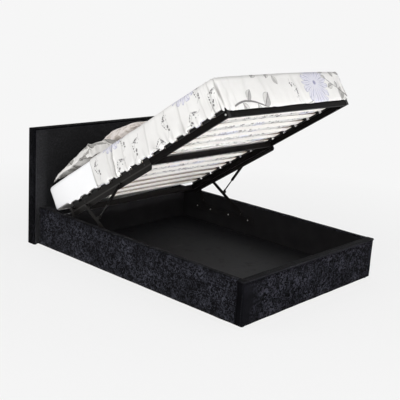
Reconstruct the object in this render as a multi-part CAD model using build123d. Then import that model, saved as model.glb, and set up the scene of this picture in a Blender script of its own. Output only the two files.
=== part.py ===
from build123d import *
import math
import os

os.makedirs("parts", exist_ok=True)

# Ottoman bed with its sleeping platform raised, in millimetres.
# +Z is up, +Y points from the foot to the headboard, +X is to the right seen from the foot.
# The origin is on the floor, under the middle of the whole bed.

# Overall sizes of the box
rail_span = 1440  # over the outsides of the two side rails
inner_length = 1935  # from the foot panel's inner face to the headboard's front
rail_height = 282  # of the rails and the foot panel, without the glides
rail_thickness = 40
foot_thickness = 50
glide_height = 12
glide_radius = 16
glide_inset = 35  # from the outer faces to a glide's centre

# Headboard
headboard_span = 1530
headboard_height = 873  # above the glides
headboard_thickness = 70
border_thickness = 14  # padded border round the front pad
front_pad_thickness = 18
back_cover_thickness = 3
headboard_round = 6  # rounding of the padded edges

# Upholstery of rails and foot panel
cover_thickness = 10  # foam and velvet outside the boards
lining_thickness = 6  # board and smooth lining on the inside
cover_round = 9
inner_cover_round = 3

# Storage floor
ledge_size = 20  # square battens that carry the floor boards
ledge_lift = 5  # of the battens above the rails' lower edge
floor_thickness = 9
floor_joint = 1  # gap between floor boards and round them
floor_board_count = 3
bearer_width = 45
bearer_foot_radius = 18
bearer_foot_shares = (0.14, 0.5, 0.86)  # of the bearer's length
head_wall_setback = 155  # from the headboard's front to the wall's foot-side face
head_wall_thickness = 15
head_wall_height = 245  # above the rails' lower edge
head_wall_edging = 3

# Corner blocks at the foot, with the stop pads that the closed platform comes down on
block_width = 45
block_depth = 60
block_round = 6
pad_radius = 15
pad_height = 6
pad_gap = 1.5  # between the stop pads and the closed platform

# Corner plates that join the rails to the headboard
corner_plate_thickness = 3
corner_plate_leg = 40
corner_plate_height = 140
corner_plate_lift = 50  # above the rails' lower edge
corner_bolt_radius = 7
corner_bolt_head = 3
corner_bolt_shares = (0.18, 0.82)  # of the plate's height

# Lower mechanism plate on each rail
lower_plate_length = 640
lower_plate_setback = 285  # from the headboard's front to its head end
lower_plate_bottom = 130  # above the rails' lower edge
lower_plate_depth = 50
lower_plate_thickness = 3
lower_plate_round = 8
pivot_ear_radius = 20
plate_screw_shares = (0.0875, 0.408, 0.717, 0.948)  # along the plate, from its foot end
plate_screw_radius = 5
plate_screw_head = 2

# Lift arm, hinged on the lower plate and on the platform
arm_pivot_setback = 804  # from the headboard's front
arm_pivot_rise = 191  # above the rails' lower edge
arm_length = 388
arm_angle = 32.1  # above level, bed open
arm_width = 26
arm_thickness = 4
arm_swing = 33.8  # turned back when the bed closes
strut_ear_along = 240  # of the strut's stud, along the arm from its lower pivot
strut_ear_rise = 24
strut_ear_radius = 12

# Rear link, hinged on the platform and beside the lower plate
link_pivot_setback = 388
link_pivot_rise = 219
link_width = 28

# Platform of square tube. Places on it are given along it, from its hinge line to the foot,
# and above the middle of its tubes.
platform_tilt = 32.8  # bed open
platform_gap = 38  # from each rail's inner face to the platform's side
platform_foot = 1640  # along the platform, to the outside of the foot tube
platform_head = -45
tube_width = 25
tube_depth = 40
tube_wall = 2
tube_round = 3
middle_tube_along = 890
plug_thickness = 3
arm_joint_along = 168
arm_joint_drop = 31.4
link_joint_along = 4
link_joint_drop = -2
strut_joint_along = 570
strut_joint_drop = 24

# Upper bar on each side tube
bar_thickness = 3
bar_drop = 52  # of its lower edge under the middle of the tube
bar_foot = 900
bar_round = 20
bar_flange_thickness = 3
bar_bolt_shares = (0.2, 0.77, 0.94)  # along the bar, from its head end
bolt_radius = 6
bolt_head = 3

# Gaps across the mechanism, from the rail inwards
plate_to_arm = 3
rivet_head = 1.5
pin_radius = 5
pin_shoulder_radius = 9
stud_radius = 4
stud_head_radius = 7
stud_head = 2
pin_clearance = 0.05
seat_gap = 0.3  # left between faces that rest on each other on different bodies

# Gas strut
strut_inset = 23.5  # from the rail's inner face to the strut's centre line
cylinder_radius = 10.5
cylinder_wall = 1.5
cylinder_length = 187
cylinder_cap = 12
eye_radius = 9
eye_thickness = 8
eye_neck = 18  # from an eye's centre to the end of the cylinder or rod
eye_neck_radius = 3
rod_radius = 5
piston_length = 12
piston_clearance = 0.1
end_fitting_length = 26
end_fitting_radius = 7

# Slats and their holders
slat_count = 14
slat_width = 63
slat_thickness = 8
slat_bow = 8
slat_end_margin = 15  # from the platform's edge to the slat's end
slat_first = 40  # along the platform, to the first slat's centre
slat_last = 1590
holder_width = 34
holder_overlap = 6  # of a holder past each edge of its slat
holder_height = 24
holder_round = 3
holder_outset = 2
pocket_clearance = 1

# Mattress and its printed cover
mattress_gap = 12.5  # from each rail's inner face, when the bed is closed
mattress_head = -203  # along the platform
mattress_foot = 1655
mattress_bottom = 50.5
mattress_thickness = 197
mattress_corner_round = 70
mattress_edge_round = 42
mattress_crown = 10
sheet_thickness = 5
sheet_gap = 0.3
sheet_hem = 360  # along the platform, where the printed cover begins
fold_radius = 9
fold_proud = 3.5
fold_shares = (0.06, 0.14, 0.31, 0.47, 0.63, 0.83, 0.93)  # along the printed cover

# Pillows
pillow_edge_inset = 20.5  # from the mattress's side to a pillow's corner
pillow_length = 490
pillow_height = 145
pillow_drawn_in = 22  # of each side between its corners
pillow_top_share = 0.52  # of the outline, where the pillow rests
pillow_head = -145  # along the platform
pillow_side_gap = 14
top_pillow_width = 620
top_pillow_length = 480
top_pillow_height = 125
top_pillow_head = -15
top_pillow_shift = -60  # sideways from the middle

# A cut runs this far past the face that it opens
overrun = 5

# Places that follow from the sizes above
total_length = foot_thickness + inner_length + headboard_thickness
foot_face = -total_length / 2
foot_inner = foot_face + foot_thickness
headboard_front = foot_inner + inner_length
headboard_back = headboard_front + headboard_thickness
rail_outer = rail_span / 2
rail_inner = rail_outer - rail_thickness
rail_bottom = glide_height
rail_top = rail_bottom + rail_height
headboard_top = glide_height + headboard_height
headboard_side = headboard_span / 2
pad_side = headboard_side - border_thickness
pad_top = headboard_top - border_thickness
ledge_bottom = rail_bottom + ledge_lift
ledge_top = ledge_bottom + ledge_size
floor_top = ledge_top + floor_thickness
head_wall_front = headboard_front - head_wall_setback
head_wall_back = head_wall_front + head_wall_thickness
head_wall_top = rail_bottom + head_wall_height

platform_side = rail_inner - platform_gap
mattress_width = (rail_inner - mattress_gap) * 2
pillow_width = (mattress_width - pillow_side_gap) / 2 - pillow_edge_inset
bar_outer = platform_side + bar_thickness
plate_inner = rail_inner - lower_plate_thickness
arm_outer = plate_inner - plate_to_arm
arm_inner = arm_outer - arm_thickness
strut_centre = rail_inner - strut_inset

tilt = math.radians(platform_tilt)
tilt_cos = math.cos(tilt)
tilt_sin = math.sin(tilt)


def along_ray(start, length, degrees):
    """A point (y, z) at a distance and an angle from another, turning from +Y to +Z."""
    turn = math.radians(degrees)
    return (start[0] + length * math.cos(turn), start[1] + length * math.sin(turn))


# Pivots as (y, z), bed open
arm_pivot = (headboard_front - arm_pivot_setback, rail_bottom + arm_pivot_rise)
link_pivot = (headboard_front - link_pivot_setback, rail_bottom + link_pivot_rise)
arm_joint = along_ray(arm_pivot, arm_length, arm_angle)
platform_y = arm_joint[0] + arm_joint_along * tilt_cos + arm_joint_drop * tilt_sin
platform_z = arm_joint[1] - arm_joint_along * tilt_sin + arm_joint_drop * tilt_cos


def platform_point(along, rise):
    """The place (y, z) of a point on the raised platform."""
    return (
        platform_y - along * tilt_cos + rise * tilt_sin,
        platform_z + along * tilt_sin + rise * tilt_cos,
    )


link_joint = platform_point(link_joint_along, -link_joint_drop)
strut_joint = platform_point(strut_joint_along, -strut_joint_drop)
strut_ear = along_ray(
    along_ray(arm_pivot, strut_ear_along, arm_angle), strut_ear_rise, arm_angle + 90
)
on_platform = Location((0, platform_y, platform_z), (-platform_tilt, 0, 0))

# Height of the platform's middle line when the arm has swung back and the bed is closed
closed_arm_joint = along_ray(arm_pivot, arm_length, arm_angle - arm_swing)
closed_platform_z = closed_arm_joint[1] + arm_joint_drop
stop_top = closed_platform_z - tube_depth / 2 - pad_gap


def block(x_range, y_range, z_range):
    """A box between two limits on each axis."""
    sizes = [high - low for low, high in (x_range, y_range, z_range)]
    middle = [(low + high) / 2 for low, high in (x_range, y_range, z_range)]
    return Pos(*middle) * Box(*sizes)


def platform_block(x_range, along_range, rise_range):
    """A box on the level platform, whose foot end points to -Y."""
    return block(x_range, (-along_range[1], -along_range[0]), rise_range)


def side_plate(face, x_low, x_high):
    """A face drawn in (y, z), made a plate between two places across the bed."""
    return extrude(Plane.YZ.offset(x_low) * face, x_high - x_low)


def disc(centre, radius):
    return Pos(*centre) * Circle(radius)


def strap(start, end, width):
    """A bar's outline with a round end about each of two points (y, z)."""
    length = math.dist(start, end)
    turn = math.degrees(math.atan2(end[1] - start[1], end[0] - start[0]))
    middle = ((start[0] + end[0]) / 2, (start[1] + end[1]) / 2)
    return Pos(*middle) * SlotCenterToCenter(length, width, rotation=turn)


def cross_pin(centre, spans):
    """A turned pin across the bed: a radius with its two ends for each step."""
    pin = Part()
    for radius, x_low, x_high in spans:
        pin += side_plate(disc(centre, radius), x_low, x_high)
    return pin


def mirrored(shape):
    """The same piece on the other side of the bed."""
    return mirror(shape, about=Plane.YZ)


def both_sides(shape):
    return [shape, mirrored(shape)]


def save(node, *shapes):
    """Write one sub-part, whose solids stay separate."""
    solids = []
    for shape in shapes:
        solids.extend(shape.solids())
    export_step(Compound(label=node, children=solids), f"parts/{node}.step")


def save_pair(node, shape):
    """Write a piece of the right side and its mirror image, as two sub-parts."""
    save(f"right_{node}", shape)
    save(f"left_{node}", mirrored(shape))


# Headboard


def make_headboard():
    core_front = headboard_front + front_pad_thickness
    core_back = headboard_back - back_cover_thickness
    core = block((-pad_side, pad_side), (core_front, core_back), (rail_bottom, pad_top))
    save("headboard_core", core)

    front = block((-pad_side, pad_side), (headboard_front, core_front), (rail_bottom, pad_top))
    rounded = front.edges().group_by(Axis.Y)[0]
    save("headboard_front_pad", fillet(rounded, headboard_round))

    side = block((pad_side, headboard_side), (headboard_front, core_back), (rail_bottom, headboard_top))
    outer = side.edges().filter_by(Axis.Z).group_by(Axis.X)[-1].group_by(Axis.Y)[0]
    side = fillet(outer, headboard_round)
    save_pair("headboard_border", side)

    top = block((-pad_side, pad_side), (headboard_front, core_back), (pad_top, headboard_top))
    upper = top.edges().filter_by(Axis.X).group_by(Axis.Z)[-1].group_by(Axis.Y)[0]
    save("headboard_top_border", fillet(upper, headboard_round))

    back = block(
        (-headboard_side, headboard_side), (core_back, headboard_back), (rail_bottom, headboard_top)
    )
    save("headboard_back_cover", back)


# Rails and foot panel


def make_side_rails():
    board_top = rail_top - cover_thickness
    length = (foot_inner, headboard_front)
    board_outer = rail_outer - cover_thickness
    board_inner = rail_inner + lining_thickness

    cover = block((rail_inner, rail_outer), length, (rail_bottom, rail_top))
    cover -= block(
        (rail_inner - overrun, board_outer),
        (length[0] - overrun, length[1] + overrun),
        (rail_bottom - overrun, board_top),
    )
    top_edges = cover.edges().filter_by(Axis.Y).group_by(Axis.Z)[-1].sort_by(Axis.X)
    cover = fillet(top_edges[-1], cover_round)
    inner_edge = cover.edges().filter_by(Axis.Y).group_by(Axis.Z)[-1].sort_by(Axis.X)[0]
    cover = fillet(inner_edge, inner_cover_round)
    save_pair("rail_cover", cover)

    save_pair("rail_board", block((board_inner, board_outer), length, (rail_bottom, board_top)))
    save_pair("rail_lining", block((rail_inner, board_inner), length, (rail_bottom, board_top)))


def make_foot_panel():
    board_top = rail_top - cover_thickness
    board_side = rail_outer - cover_thickness
    board_front = foot_face + cover_thickness
    board_back = foot_inner - lining_thickness

    cover = block((-rail_outer, rail_outer), (foot_face, foot_inner), (rail_bottom, board_top))
    cover -= block(
        (-board_side, board_side),
        (board_front, foot_inner + overrun),
        (rail_bottom - overrun, board_top + overrun),
    )
    corners = cover.edges().filter_by(Axis.Z).group_by(Axis.Y)[0]
    cover = fillet(corners, cover_round)
    save("foot_panel_cover", cover)

    band = block((-rail_outer, rail_outer), (foot_face, foot_inner), (board_top, rail_top))
    band = fillet(band.edges().filter_by(Axis.Z).group_by(Axis.Y)[0], cover_round)
    front_top = band.edges().group_by(Axis.Z)[-1].sort_by(Axis.Y)[0]
    band = fillet(front_top, inner_cover_round)
    save("foot_panel_top_band", band)

    across = (-board_side, board_side)
    save("foot_panel_board", block(across, (board_front, board_back), (rail_bottom, board_top)))
    save("foot_panel_lining", block(across, (board_back, foot_inner), (rail_bottom, board_top)))


def make_glides():
    foot_x = rail_outer - glide_inset
    foot_y = foot_face + foot_thickness / 2
    head_x = headboard_side - glide_inset
    head_y = headboard_back - headboard_thickness / 2
    glides = []
    for x, y in ((foot_x, foot_y), (-foot_x, foot_y), (head_x, head_y), (-head_x, head_y)):
        glide = Pos(x, y, glide_height / 2) * Cylinder(glide_radius, glide_height)
        glides.append(chamfer(glide.edges().group_by(Axis.Z)[0], glide_height / 4))
    save("floor_glides", *glides)


# Storage box


def make_storage_floor():
    side = (rail_inner - ledge_size, rail_inner)
    length = (foot_inner, head_wall_front)
    height = (ledge_bottom, ledge_top)
    side_ledge = block(side, length, height)
    across = (-rail_inner + ledge_size, rail_inner - ledge_size)
    foot_ledge = block(across, (foot_inner, foot_inner + ledge_size), height)
    head_ledge = block(across, (head_wall_front - ledge_size, head_wall_front), height)
    save("floor_ledges", *both_sides(side_ledge), foot_ledge, head_ledge)

    bearer_start = foot_inner + ledge_size
    bearer_end = head_wall_front - ledge_size
    bearer = block((-bearer_width / 2, bearer_width / 2), (bearer_start, bearer_end), height)
    save("centre_bearer", bearer)
    feet = []
    for share in bearer_foot_shares:
        y = bearer_start + share * (bearer_end - bearer_start)
        feet.append(Pos(0, y, ledge_bottom / 2) * Cylinder(bearer_foot_radius, ledge_bottom))
    save("bearer_feet", *feet)

    run = length[1] - length[0] - floor_joint
    board_length = run / floor_board_count - floor_joint
    board_side = rail_inner - floor_joint
    for index in range(floor_board_count):
        start = length[0] + floor_joint + index * (board_length + floor_joint)
        board = block((-board_side, board_side), (start, start + board_length), (ledge_top, floor_top))
        save(f"floor_board_{index + 1}", board)


def make_head_wall():
    across = (-rail_inner, rail_inner)
    depth = (head_wall_front, head_wall_back)
    edging_bottom = head_wall_top - head_wall_edging
    save("head_wall", block(across, depth, (ledge_bottom, edging_bottom)))
    save("head_wall_edging", block(across, depth, (edging_bottom, head_wall_top)))


def make_corner_blocks():
    block_top = stop_top - pad_height
    corner = block(
        (rail_inner - block_width, rail_inner),
        (foot_inner, foot_inner + block_depth),
        (floor_top, block_top),
    )
    free_edge = corner.edges().filter_by(Axis.Z).group_by(Axis.Y)[-1].sort_by(Axis.X)[0]
    corner = fillet(free_edge, block_round)
    save("corner_blocks", *both_sides(corner))
    pad_x = rail_inner - block_width + pad_radius
    pad_y = foot_inner + block_depth - pad_radius
    pad = Pos(pad_x, pad_y, stop_top - pad_height / 2) * Cylinder(pad_radius, pad_height)
    save("stop_pads", *both_sides(pad))


def make_corner_plates():
    bottom = rail_bottom + corner_plate_lift
    height = (bottom, bottom + corner_plate_height)
    inner = rail_inner - corner_plate_thickness
    face = headboard_front - corner_plate_thickness
    rail_leg = block((inner, rail_inner), (headboard_front - corner_plate_leg, headboard_front), height)
    head_leg = block((rail_inner - corner_plate_leg, rail_inner), (face, headboard_front), height)
    save("corner_plates", *both_sides(rail_leg + head_leg))
    bolts = []
    for share in corner_bolt_shares:
        z = bottom + share * corner_plate_height
        bolt_y = headboard_front - corner_plate_leg / 2
        bolts.append(cross_pin((bolt_y, z), [(corner_bolt_radius, inner - corner_bolt_head, inner)]))
    save("corner_bolts", *bolts, *[mirrored(bolt) for bolt in bolts])


# Lifting mechanism


def make_lower_plates():
    plate_head = headboard_front - lower_plate_setback
    plate_foot = plate_head - lower_plate_length
    bottom = rail_bottom + lower_plate_bottom
    top = bottom + lower_plate_depth
    face = Pos((plate_head + plate_foot) / 2, (top + bottom) / 2) * RectangleRounded(
        lower_plate_length, lower_plate_depth, lower_plate_round
    )
    for pivot in (arm_pivot, link_pivot):
        foot = (pivot[0], bottom + pivot_ear_radius)
        face += strap(foot, pivot, pivot_ear_radius * 2)
    face -= disc(arm_pivot, pin_radius + pin_clearance)
    plate = side_plate(face, plate_inner, rail_inner)
    save_pair("lower_plate", plate)

    screws = []
    for share in plate_screw_shares:
        centre = (plate_foot + share * lower_plate_length, (top + bottom) / 2)
        head = cross_pin(centre, [(plate_screw_radius, plate_inner - plate_screw_head, plate_inner)])
        rim = head.edges().filter_by(GeomType.CIRCLE).sort_by(Axis.X)[0]
        screws.append(fillet(rim, plate_screw_head / 2))
    save("plate_screws", *screws, *[mirrored(screw) for screw in screws])

    pin = cross_pin(
        arm_pivot,
        [
            (pin_radius, arm_inner - seat_gap, rail_inner),
            (pin_shoulder_radius, arm_outer + seat_gap, plate_inner),
            (pin_shoulder_radius, arm_inner - seat_gap - rivet_head, arm_inner - seat_gap),
        ],
    )
    save("arm_pivot_pins", *both_sides(pin))


def make_lift_arms():
    face = strap(arm_pivot, arm_joint, arm_width)
    root = along_ray(arm_pivot, strut_ear_along, arm_angle)
    face += strap(root, strut_ear, strut_ear_radius * 2)
    for centre in (arm_pivot, arm_joint):
        face -= disc(centre, pin_radius + pin_clearance)
    save_pair("lift_arm", side_plate(face, arm_inner, arm_outer))


def make_rear_links():
    face = strap(link_pivot, link_joint, link_width)
    for centre in (link_pivot, link_joint):
        face -= disc(centre, pin_radius + pin_clearance)
    save_pair("rear_link", side_plate(face, arm_inner, arm_outer))
    rivet = cross_pin(
        link_pivot,
        [
            (pin_radius, arm_inner - rivet_head, plate_inner - seat_gap),
            (pin_shoulder_radius, arm_outer, plate_inner - seat_gap),
            (pin_shoulder_radius, arm_inner - rivet_head, arm_inner),
        ],
    )
    save("link_rivets", *both_sides(rivet))


def make_platform_pins():
    pins = []
    for centre in (arm_joint, link_joint):
        pins.append(
            cross_pin(
                centre,
                [
                    (pin_radius, platform_side, arm_outer + seat_gap),
                    (pin_shoulder_radius, bar_outer, arm_inner - seat_gap),
                    (pin_shoulder_radius, arm_outer + seat_gap, arm_outer + seat_gap + rivet_head),
                ],
            )
        )
    eye_low = strut_centre - eye_thickness / 2
    eye_high = strut_centre + eye_thickness / 2
    stud = cross_pin(
        strut_joint,
        [
            (stud_radius, platform_side, eye_high + seat_gap),
            (stud_head_radius, bar_outer, eye_low - seat_gap),
            (stud_head_radius, eye_high + seat_gap, eye_high + seat_gap + stud_head),
        ],
    )
    pins.append(stud)
    save("platform_pins", *pins, *[mirrored(pin) for pin in pins])


def make_upper_bars():
    head = platform_head
    face_middle = (-(head + bar_foot) / 2, (tube_depth / 2 - bar_drop) / 2)
    face = Pos(*face_middle) * RectangleRounded(bar_foot - head, tube_depth / 2 + bar_drop, bar_round)
    holes = (
        (arm_joint_along, -arm_joint_drop, pin_radius),
        (link_joint_along, -link_joint_drop, pin_radius),
        (strut_joint_along, -strut_joint_drop, stud_radius),
    )
    for along, rise, radius in holes:
        face -= disc((-along, rise), radius + pin_clearance)
    bar = side_plate(face, platform_side, bar_outer)
    flange_bottom = -tube_depth / 2 - bar_flange_thickness
    bar += platform_block(
        (platform_side - tube_width, platform_side),
        (head + bar_round, bar_foot - bar_round),
        (flange_bottom, -tube_depth / 2),
    )
    save_pair("upper_bar", on_platform * bar)


def strut_line():
    """The gas strut's ends and angle, bed open, from its top stud to its lower one."""
    length = math.dist(strut_joint, strut_ear)
    angle = math.degrees(math.atan2(strut_ear[1] - strut_joint[1], strut_ear[0] - strut_joint[0]))
    return length, angle


def place_on_strut(shape, distance, angle):
    """Turn a piece made along +Z from the origin down the strut, at a distance from its top stud."""
    start = along_ray(strut_joint, distance, angle)
    return Location((strut_centre, start[0], start[1]), (angle - 90, 0, 0)) * shape


def cylinder_between(radius, low, high):
    return Pos(0, 0, (low + high) / 2) * Cylinder(radius, high - low)


def eye(distance, angle, bore):
    centre = along_ray(strut_joint, distance, angle)
    low = strut_centre - eye_thickness / 2
    face = disc(centre, eye_radius) - disc(centre, bore)
    return side_plate(face, low, low + eye_thickness), centre


def make_gas_struts():
    length, angle = strut_line()
    bore = stud_radius + pin_clearance

    # Cylinder, closed at its eye end and guiding the rod at the other
    end = eye_neck + cylinder_length
    tube = cylinder_between(cylinder_radius, eye_neck, end)
    tube = fillet(tube.edges().filter_by(GeomType.CIRCLE), cylinder_wall)
    chamber = cylinder_between(
        cylinder_radius - cylinder_wall, eye_neck + cylinder_cap, end - cylinder_cap
    )
    guide = cylinder_between(rod_radius + pin_clearance, end - cylinder_cap - overrun, end + overrun)
    neck = cylinder_between(eye_neck_radius, eye_radius / 2 + stud_radius / 2, eye_neck)
    tube = place_on_strut(tube - chamber - guide + neck, 0, angle)
    top_eye, top_centre = eye(0, angle, bore)
    tube += top_eye
    tube -= side_plate(disc(top_centre, bore), strut_centre - eye_thickness, strut_centre + eye_thickness)
    save("strut_cylinders", *both_sides(tube))

    # Rod with its piston inside the cylinder
    rod_start = end - cylinder_cap - piston_length - overrun
    rod = cylinder_between(rod_radius, rod_start, length - end_fitting_length)
    piston_radius = cylinder_radius - cylinder_wall - piston_clearance
    rod += cylinder_between(piston_radius, rod_start, rod_start + piston_length)
    save("strut_rods", *both_sides(place_on_strut(rod, 0, angle)))

    # Lower end fitting, with a stud that reaches to the arm's ear
    fitting = cylinder_between(
        end_fitting_radius, length - end_fitting_length, length - eye_radius + overrun / 2
    )
    fitting = place_on_strut(fitting, 0, angle)
    lower_eye, lower_centre = eye(length, angle, stud_radius)
    fitting += lower_eye
    stud = cross_pin(
        lower_centre,
        [
            (stud_radius, strut_centre - eye_thickness / 2, arm_inner - seat_gap),
            (stud_head_radius, strut_centre + eye_thickness / 2, arm_inner - seat_gap),
        ],
    )
    save("strut_end_fittings", *both_sides(fitting + stud))


# Platform


def square_tube(x_range, along_range):
    """A length of platform tube on the level platform, open along its longer side."""
    rise = (-tube_depth / 2, tube_depth / 2)
    outer = platform_block(x_range, along_range, rise)
    long_axis = Axis.Y if along_range[1] - along_range[0] > x_range[1] - x_range[0] else Axis.X
    outer = fillet(outer.edges().filter_by(long_axis), tube_round)
    inner_rise = (rise[0] + tube_wall, rise[1] - tube_wall)
    if long_axis == Axis.Y:
        inner_x = (x_range[0] + tube_wall, x_range[1] - tube_wall)
        inner_along = (along_range[0] - overrun, along_range[1] + overrun)
    else:
        inner_x = (x_range[0] - overrun, x_range[1] + overrun)
        inner_along = (along_range[0] + tube_wall, along_range[1] - tube_wall)
    return outer - platform_block(inner_x, inner_along, inner_rise)


def make_platform_tubes():
    inner = platform_side - tube_width
    save_pair(
        "side_tube",
        on_platform * square_tube((inner, platform_side), (platform_head, platform_foot)),
    )
    across = (-inner, inner)
    crossing = {
        "foot_tube": platform_foot - tube_width,
        "middle_tube": middle_tube_along - tube_width / 2,
        "head_tube": platform_head,
    }
    for node, start in crossing.items():
        save(node, on_platform * square_tube(across, (start, start + tube_width)))

    plugs = []
    for start in (platform_head - plug_thickness, platform_foot):
        plug = platform_block(
            (inner, platform_side), (start, start + plug_thickness), (-tube_depth / 2, tube_depth / 2)
        )
        plug = fillet(plug.edges().filter_by(Axis.Y), tube_round)
        plugs.extend(both_sides(on_platform * plug))
    save("tube_plugs", *plugs)


def make_platform_bolts():
    places = [(bar_outer, platform_head + share * (bar_foot - platform_head)) for share in bar_bolt_shares]
    places.append((platform_side, platform_foot - tube_width / 2))
    bolts = []
    for seat, along in places:
        bolt = side_plate(disc((-along, 0), bolt_radius), seat, seat + bolt_head)
        rim = bolt.edges().filter_by(GeomType.CIRCLE).sort_by(Axis.X)[-1]
        bolts.extend(both_sides(on_platform * fillet(rim, bolt_head / 2)))
    save("platform_bolts", *bolts)


def slat_places():
    step = (slat_last - slat_first) / (slat_count - 1)
    return [slat_first + index * step for index in range(slat_count)]


def make_slats():
    cover_bottom = mattress_bottom - sheet_gap - sheet_thickness
    crown = cover_bottom - seat_gap
    end_x = platform_side - slat_end_margin
    end_top = crown - slat_bow
    outline = [
        ThreePointArc((-end_x, end_top), (0, crown), (end_x, end_top)),
        Line((end_x, end_top), (end_x, end_top - slat_thickness)),
        ThreePointArc(
            (end_x, end_top - slat_thickness), (0, crown - slat_thickness), (-end_x, end_top - slat_thickness)
        ),
        Line((-end_x, end_top - slat_thickness), (-end_x, end_top)),
    ]
    section = make_face(Plane.XZ * Curve(outline))
    slats = []
    for along in slat_places():
        slat = Pos(0, -along, 0) * extrude(section, slat_width / 2, both=True)
        slats.append(on_platform * slat)
    save("slats", *slats)
    return end_x, end_top


def make_slat_holders(slat_end, slat_end_top):
    outer = platform_side + holder_outset
    seat = tube_depth / 2
    holders = []
    for along in slat_places():
        half = slat_width / 2 + holder_overlap
        holder = platform_block(
            (outer - holder_width, outer), (along - half, along + half), (seat, seat + holder_height)
        )
        holder = fillet(holder.edges().group_by(Axis.Z)[-1].filter_by(Axis.Y), holder_round)
        pocket = platform_block(
            (outer - holder_width - overrun, slat_end + pocket_clearance),
            (along - slat_width / 2 - seat_gap, along + slat_width / 2 + seat_gap),
            (slat_end_top - slat_thickness - seat_gap, slat_end_top + pocket_clearance),
        )
        holders.extend(both_sides(on_platform * (holder - pocket)))
    save("slat_holders", *holders)


# Bedding


def mattress_form(grow):
    """The mattress on the level platform, or the same form grown on every side."""
    width = mattress_width + grow * 2
    head = mattress_head - grow
    foot = mattress_foot + grow
    bottom = mattress_bottom - grow
    top = mattress_bottom + mattress_thickness + grow
    plan = Pos(0, -(head + foot) / 2, bottom) * RectangleRounded(
        width, foot - head, mattress_corner_round + grow
    )
    form = extrude(plan, top - bottom)
    rims = form.edges().group_by(Axis.Z)
    form = fillet(rims[0] + rims[-1], mattress_edge_round + grow)
    half = mattress_width / 2
    crown_radius = (half * half + mattress_crown * mattress_crown) / (mattress_crown * 2) + grow
    crown = Pos(0, -(head + foot) / 2, top - crown_radius) * Cylinder(
        crown_radius, (foot - head) * 2, rotation=(90, 0, 0)
    )
    return form & crown


def make_mattress():
    save("mattress", on_platform * mattress_form(0))


def make_printed_cover():
    outer_grow = sheet_gap + sheet_thickness
    outer = mattress_form(outer_grow)
    side = mattress_width / 2 + outer_grow
    bottom = mattress_bottom + mattress_edge_round
    top = mattress_bottom + mattress_thickness - mattress_edge_round
    for share in fold_shares:
        along = sheet_hem + share * (mattress_foot - sheet_hem)
        fold_x = side + fold_proud - fold_radius
        fold = Pos(fold_x, -along, (bottom + top) / 2) * Cylinder(fold_radius, top - bottom)
        fold = fillet(fold.edges().filter_by(GeomType.CIRCLE), fold_radius / 2)
        outer = outer + fold + mirrored(fold)
    shell = outer - mattress_form(sheet_gap)
    keep = platform_block(
        (-rail_span, rail_span),
        (sheet_hem, mattress_foot + rail_span),
        (-rail_span, rail_span),
    )
    save("printed_cover", on_platform * (shell & keep))


def pillow_outline(width, length, drawn_in, share, rise):
    """One level of a pillow: four drawn-in sides between pointed corners."""
    half_x = width / 2 * share
    half_y = length / 2 * share
    corners = [(-half_x, -half_y), (half_x, -half_y), (half_x, half_y), (-half_x, half_y)]
    waists = [
        (0, -half_y + drawn_in),
        (half_x - drawn_in, 0),
        (0, half_y - drawn_in),
        (-half_x + drawn_in, 0),
    ]
    sides = []
    for index, waist in enumerate(waists):
        following = corners[(index + 1) % len(corners)]
        sides.append(ThreePointArc(corners[index], waist, following))
    return Pos(0, 0, rise) * make_face(Curve(sides))


def pillow_form(width, length, height):
    """A pillow on its flat underside, with its crown above."""
    levels = [
        pillow_outline(width, length, pillow_drawn_in / 2, pillow_top_share, 0),
        pillow_outline(width, length, pillow_drawn_in, 1, height / 2),
        pillow_outline(width, length, pillow_drawn_in / 2, pillow_top_share, height),
    ]
    return loft(levels)


def make_pillows():
    mattress_top = mattress_bottom + mattress_thickness
    seat = mattress_top + seat_gap
    middle_along = pillow_head + pillow_length / 2
    offset = (pillow_width + pillow_side_gap) / 2
    for node, x in (("left_pillow", -offset), ("right_pillow", offset)):
        pillow = Pos(x, -middle_along, seat) * pillow_form(pillow_width, pillow_length, pillow_height)
        save(node, on_platform * pillow)
    top_seat = seat + pillow_height + seat_gap
    top_along = top_pillow_head + top_pillow_length / 2
    top_pillow = Pos(top_pillow_shift, -top_along, top_seat) * pillow_form(
        top_pillow_width, top_pillow_length, top_pillow_height
    )
    save("top_pillow", on_platform * top_pillow)


make_headboard()
make_side_rails()
make_foot_panel()
make_glides()
make_storage_floor()
make_head_wall()
make_corner_blocks()
make_corner_plates()
make_lower_plates()
make_lift_arms()
make_rear_links()
make_platform_pins()
make_upper_bars()
make_gas_struts()
make_platform_tubes()
make_platform_bolts()
slat_end, slat_end_top = make_slats()
make_slat_holders(slat_end, slat_end_top)
make_mattress()
make_printed_cover()
make_pillows()
print("strut length and angle, open:", strut_line())
print("closed platform height:", round(closed_platform_z, 1))
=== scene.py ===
# %% [markdown]
# An upholstered storage bed with its slatted platform raised on gas struts.
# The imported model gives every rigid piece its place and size. This script keeps those pieces, gives
# each a finish, and makes the soft ones anew: velvet covers, mattress, printed cover and pillows.
# All lengths are in metres. +Z is up and +Y points from the foot to the headboard.

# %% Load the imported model
import math

import bmesh
import bpy
from mathutils import Matrix, Vector, noise


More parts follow.
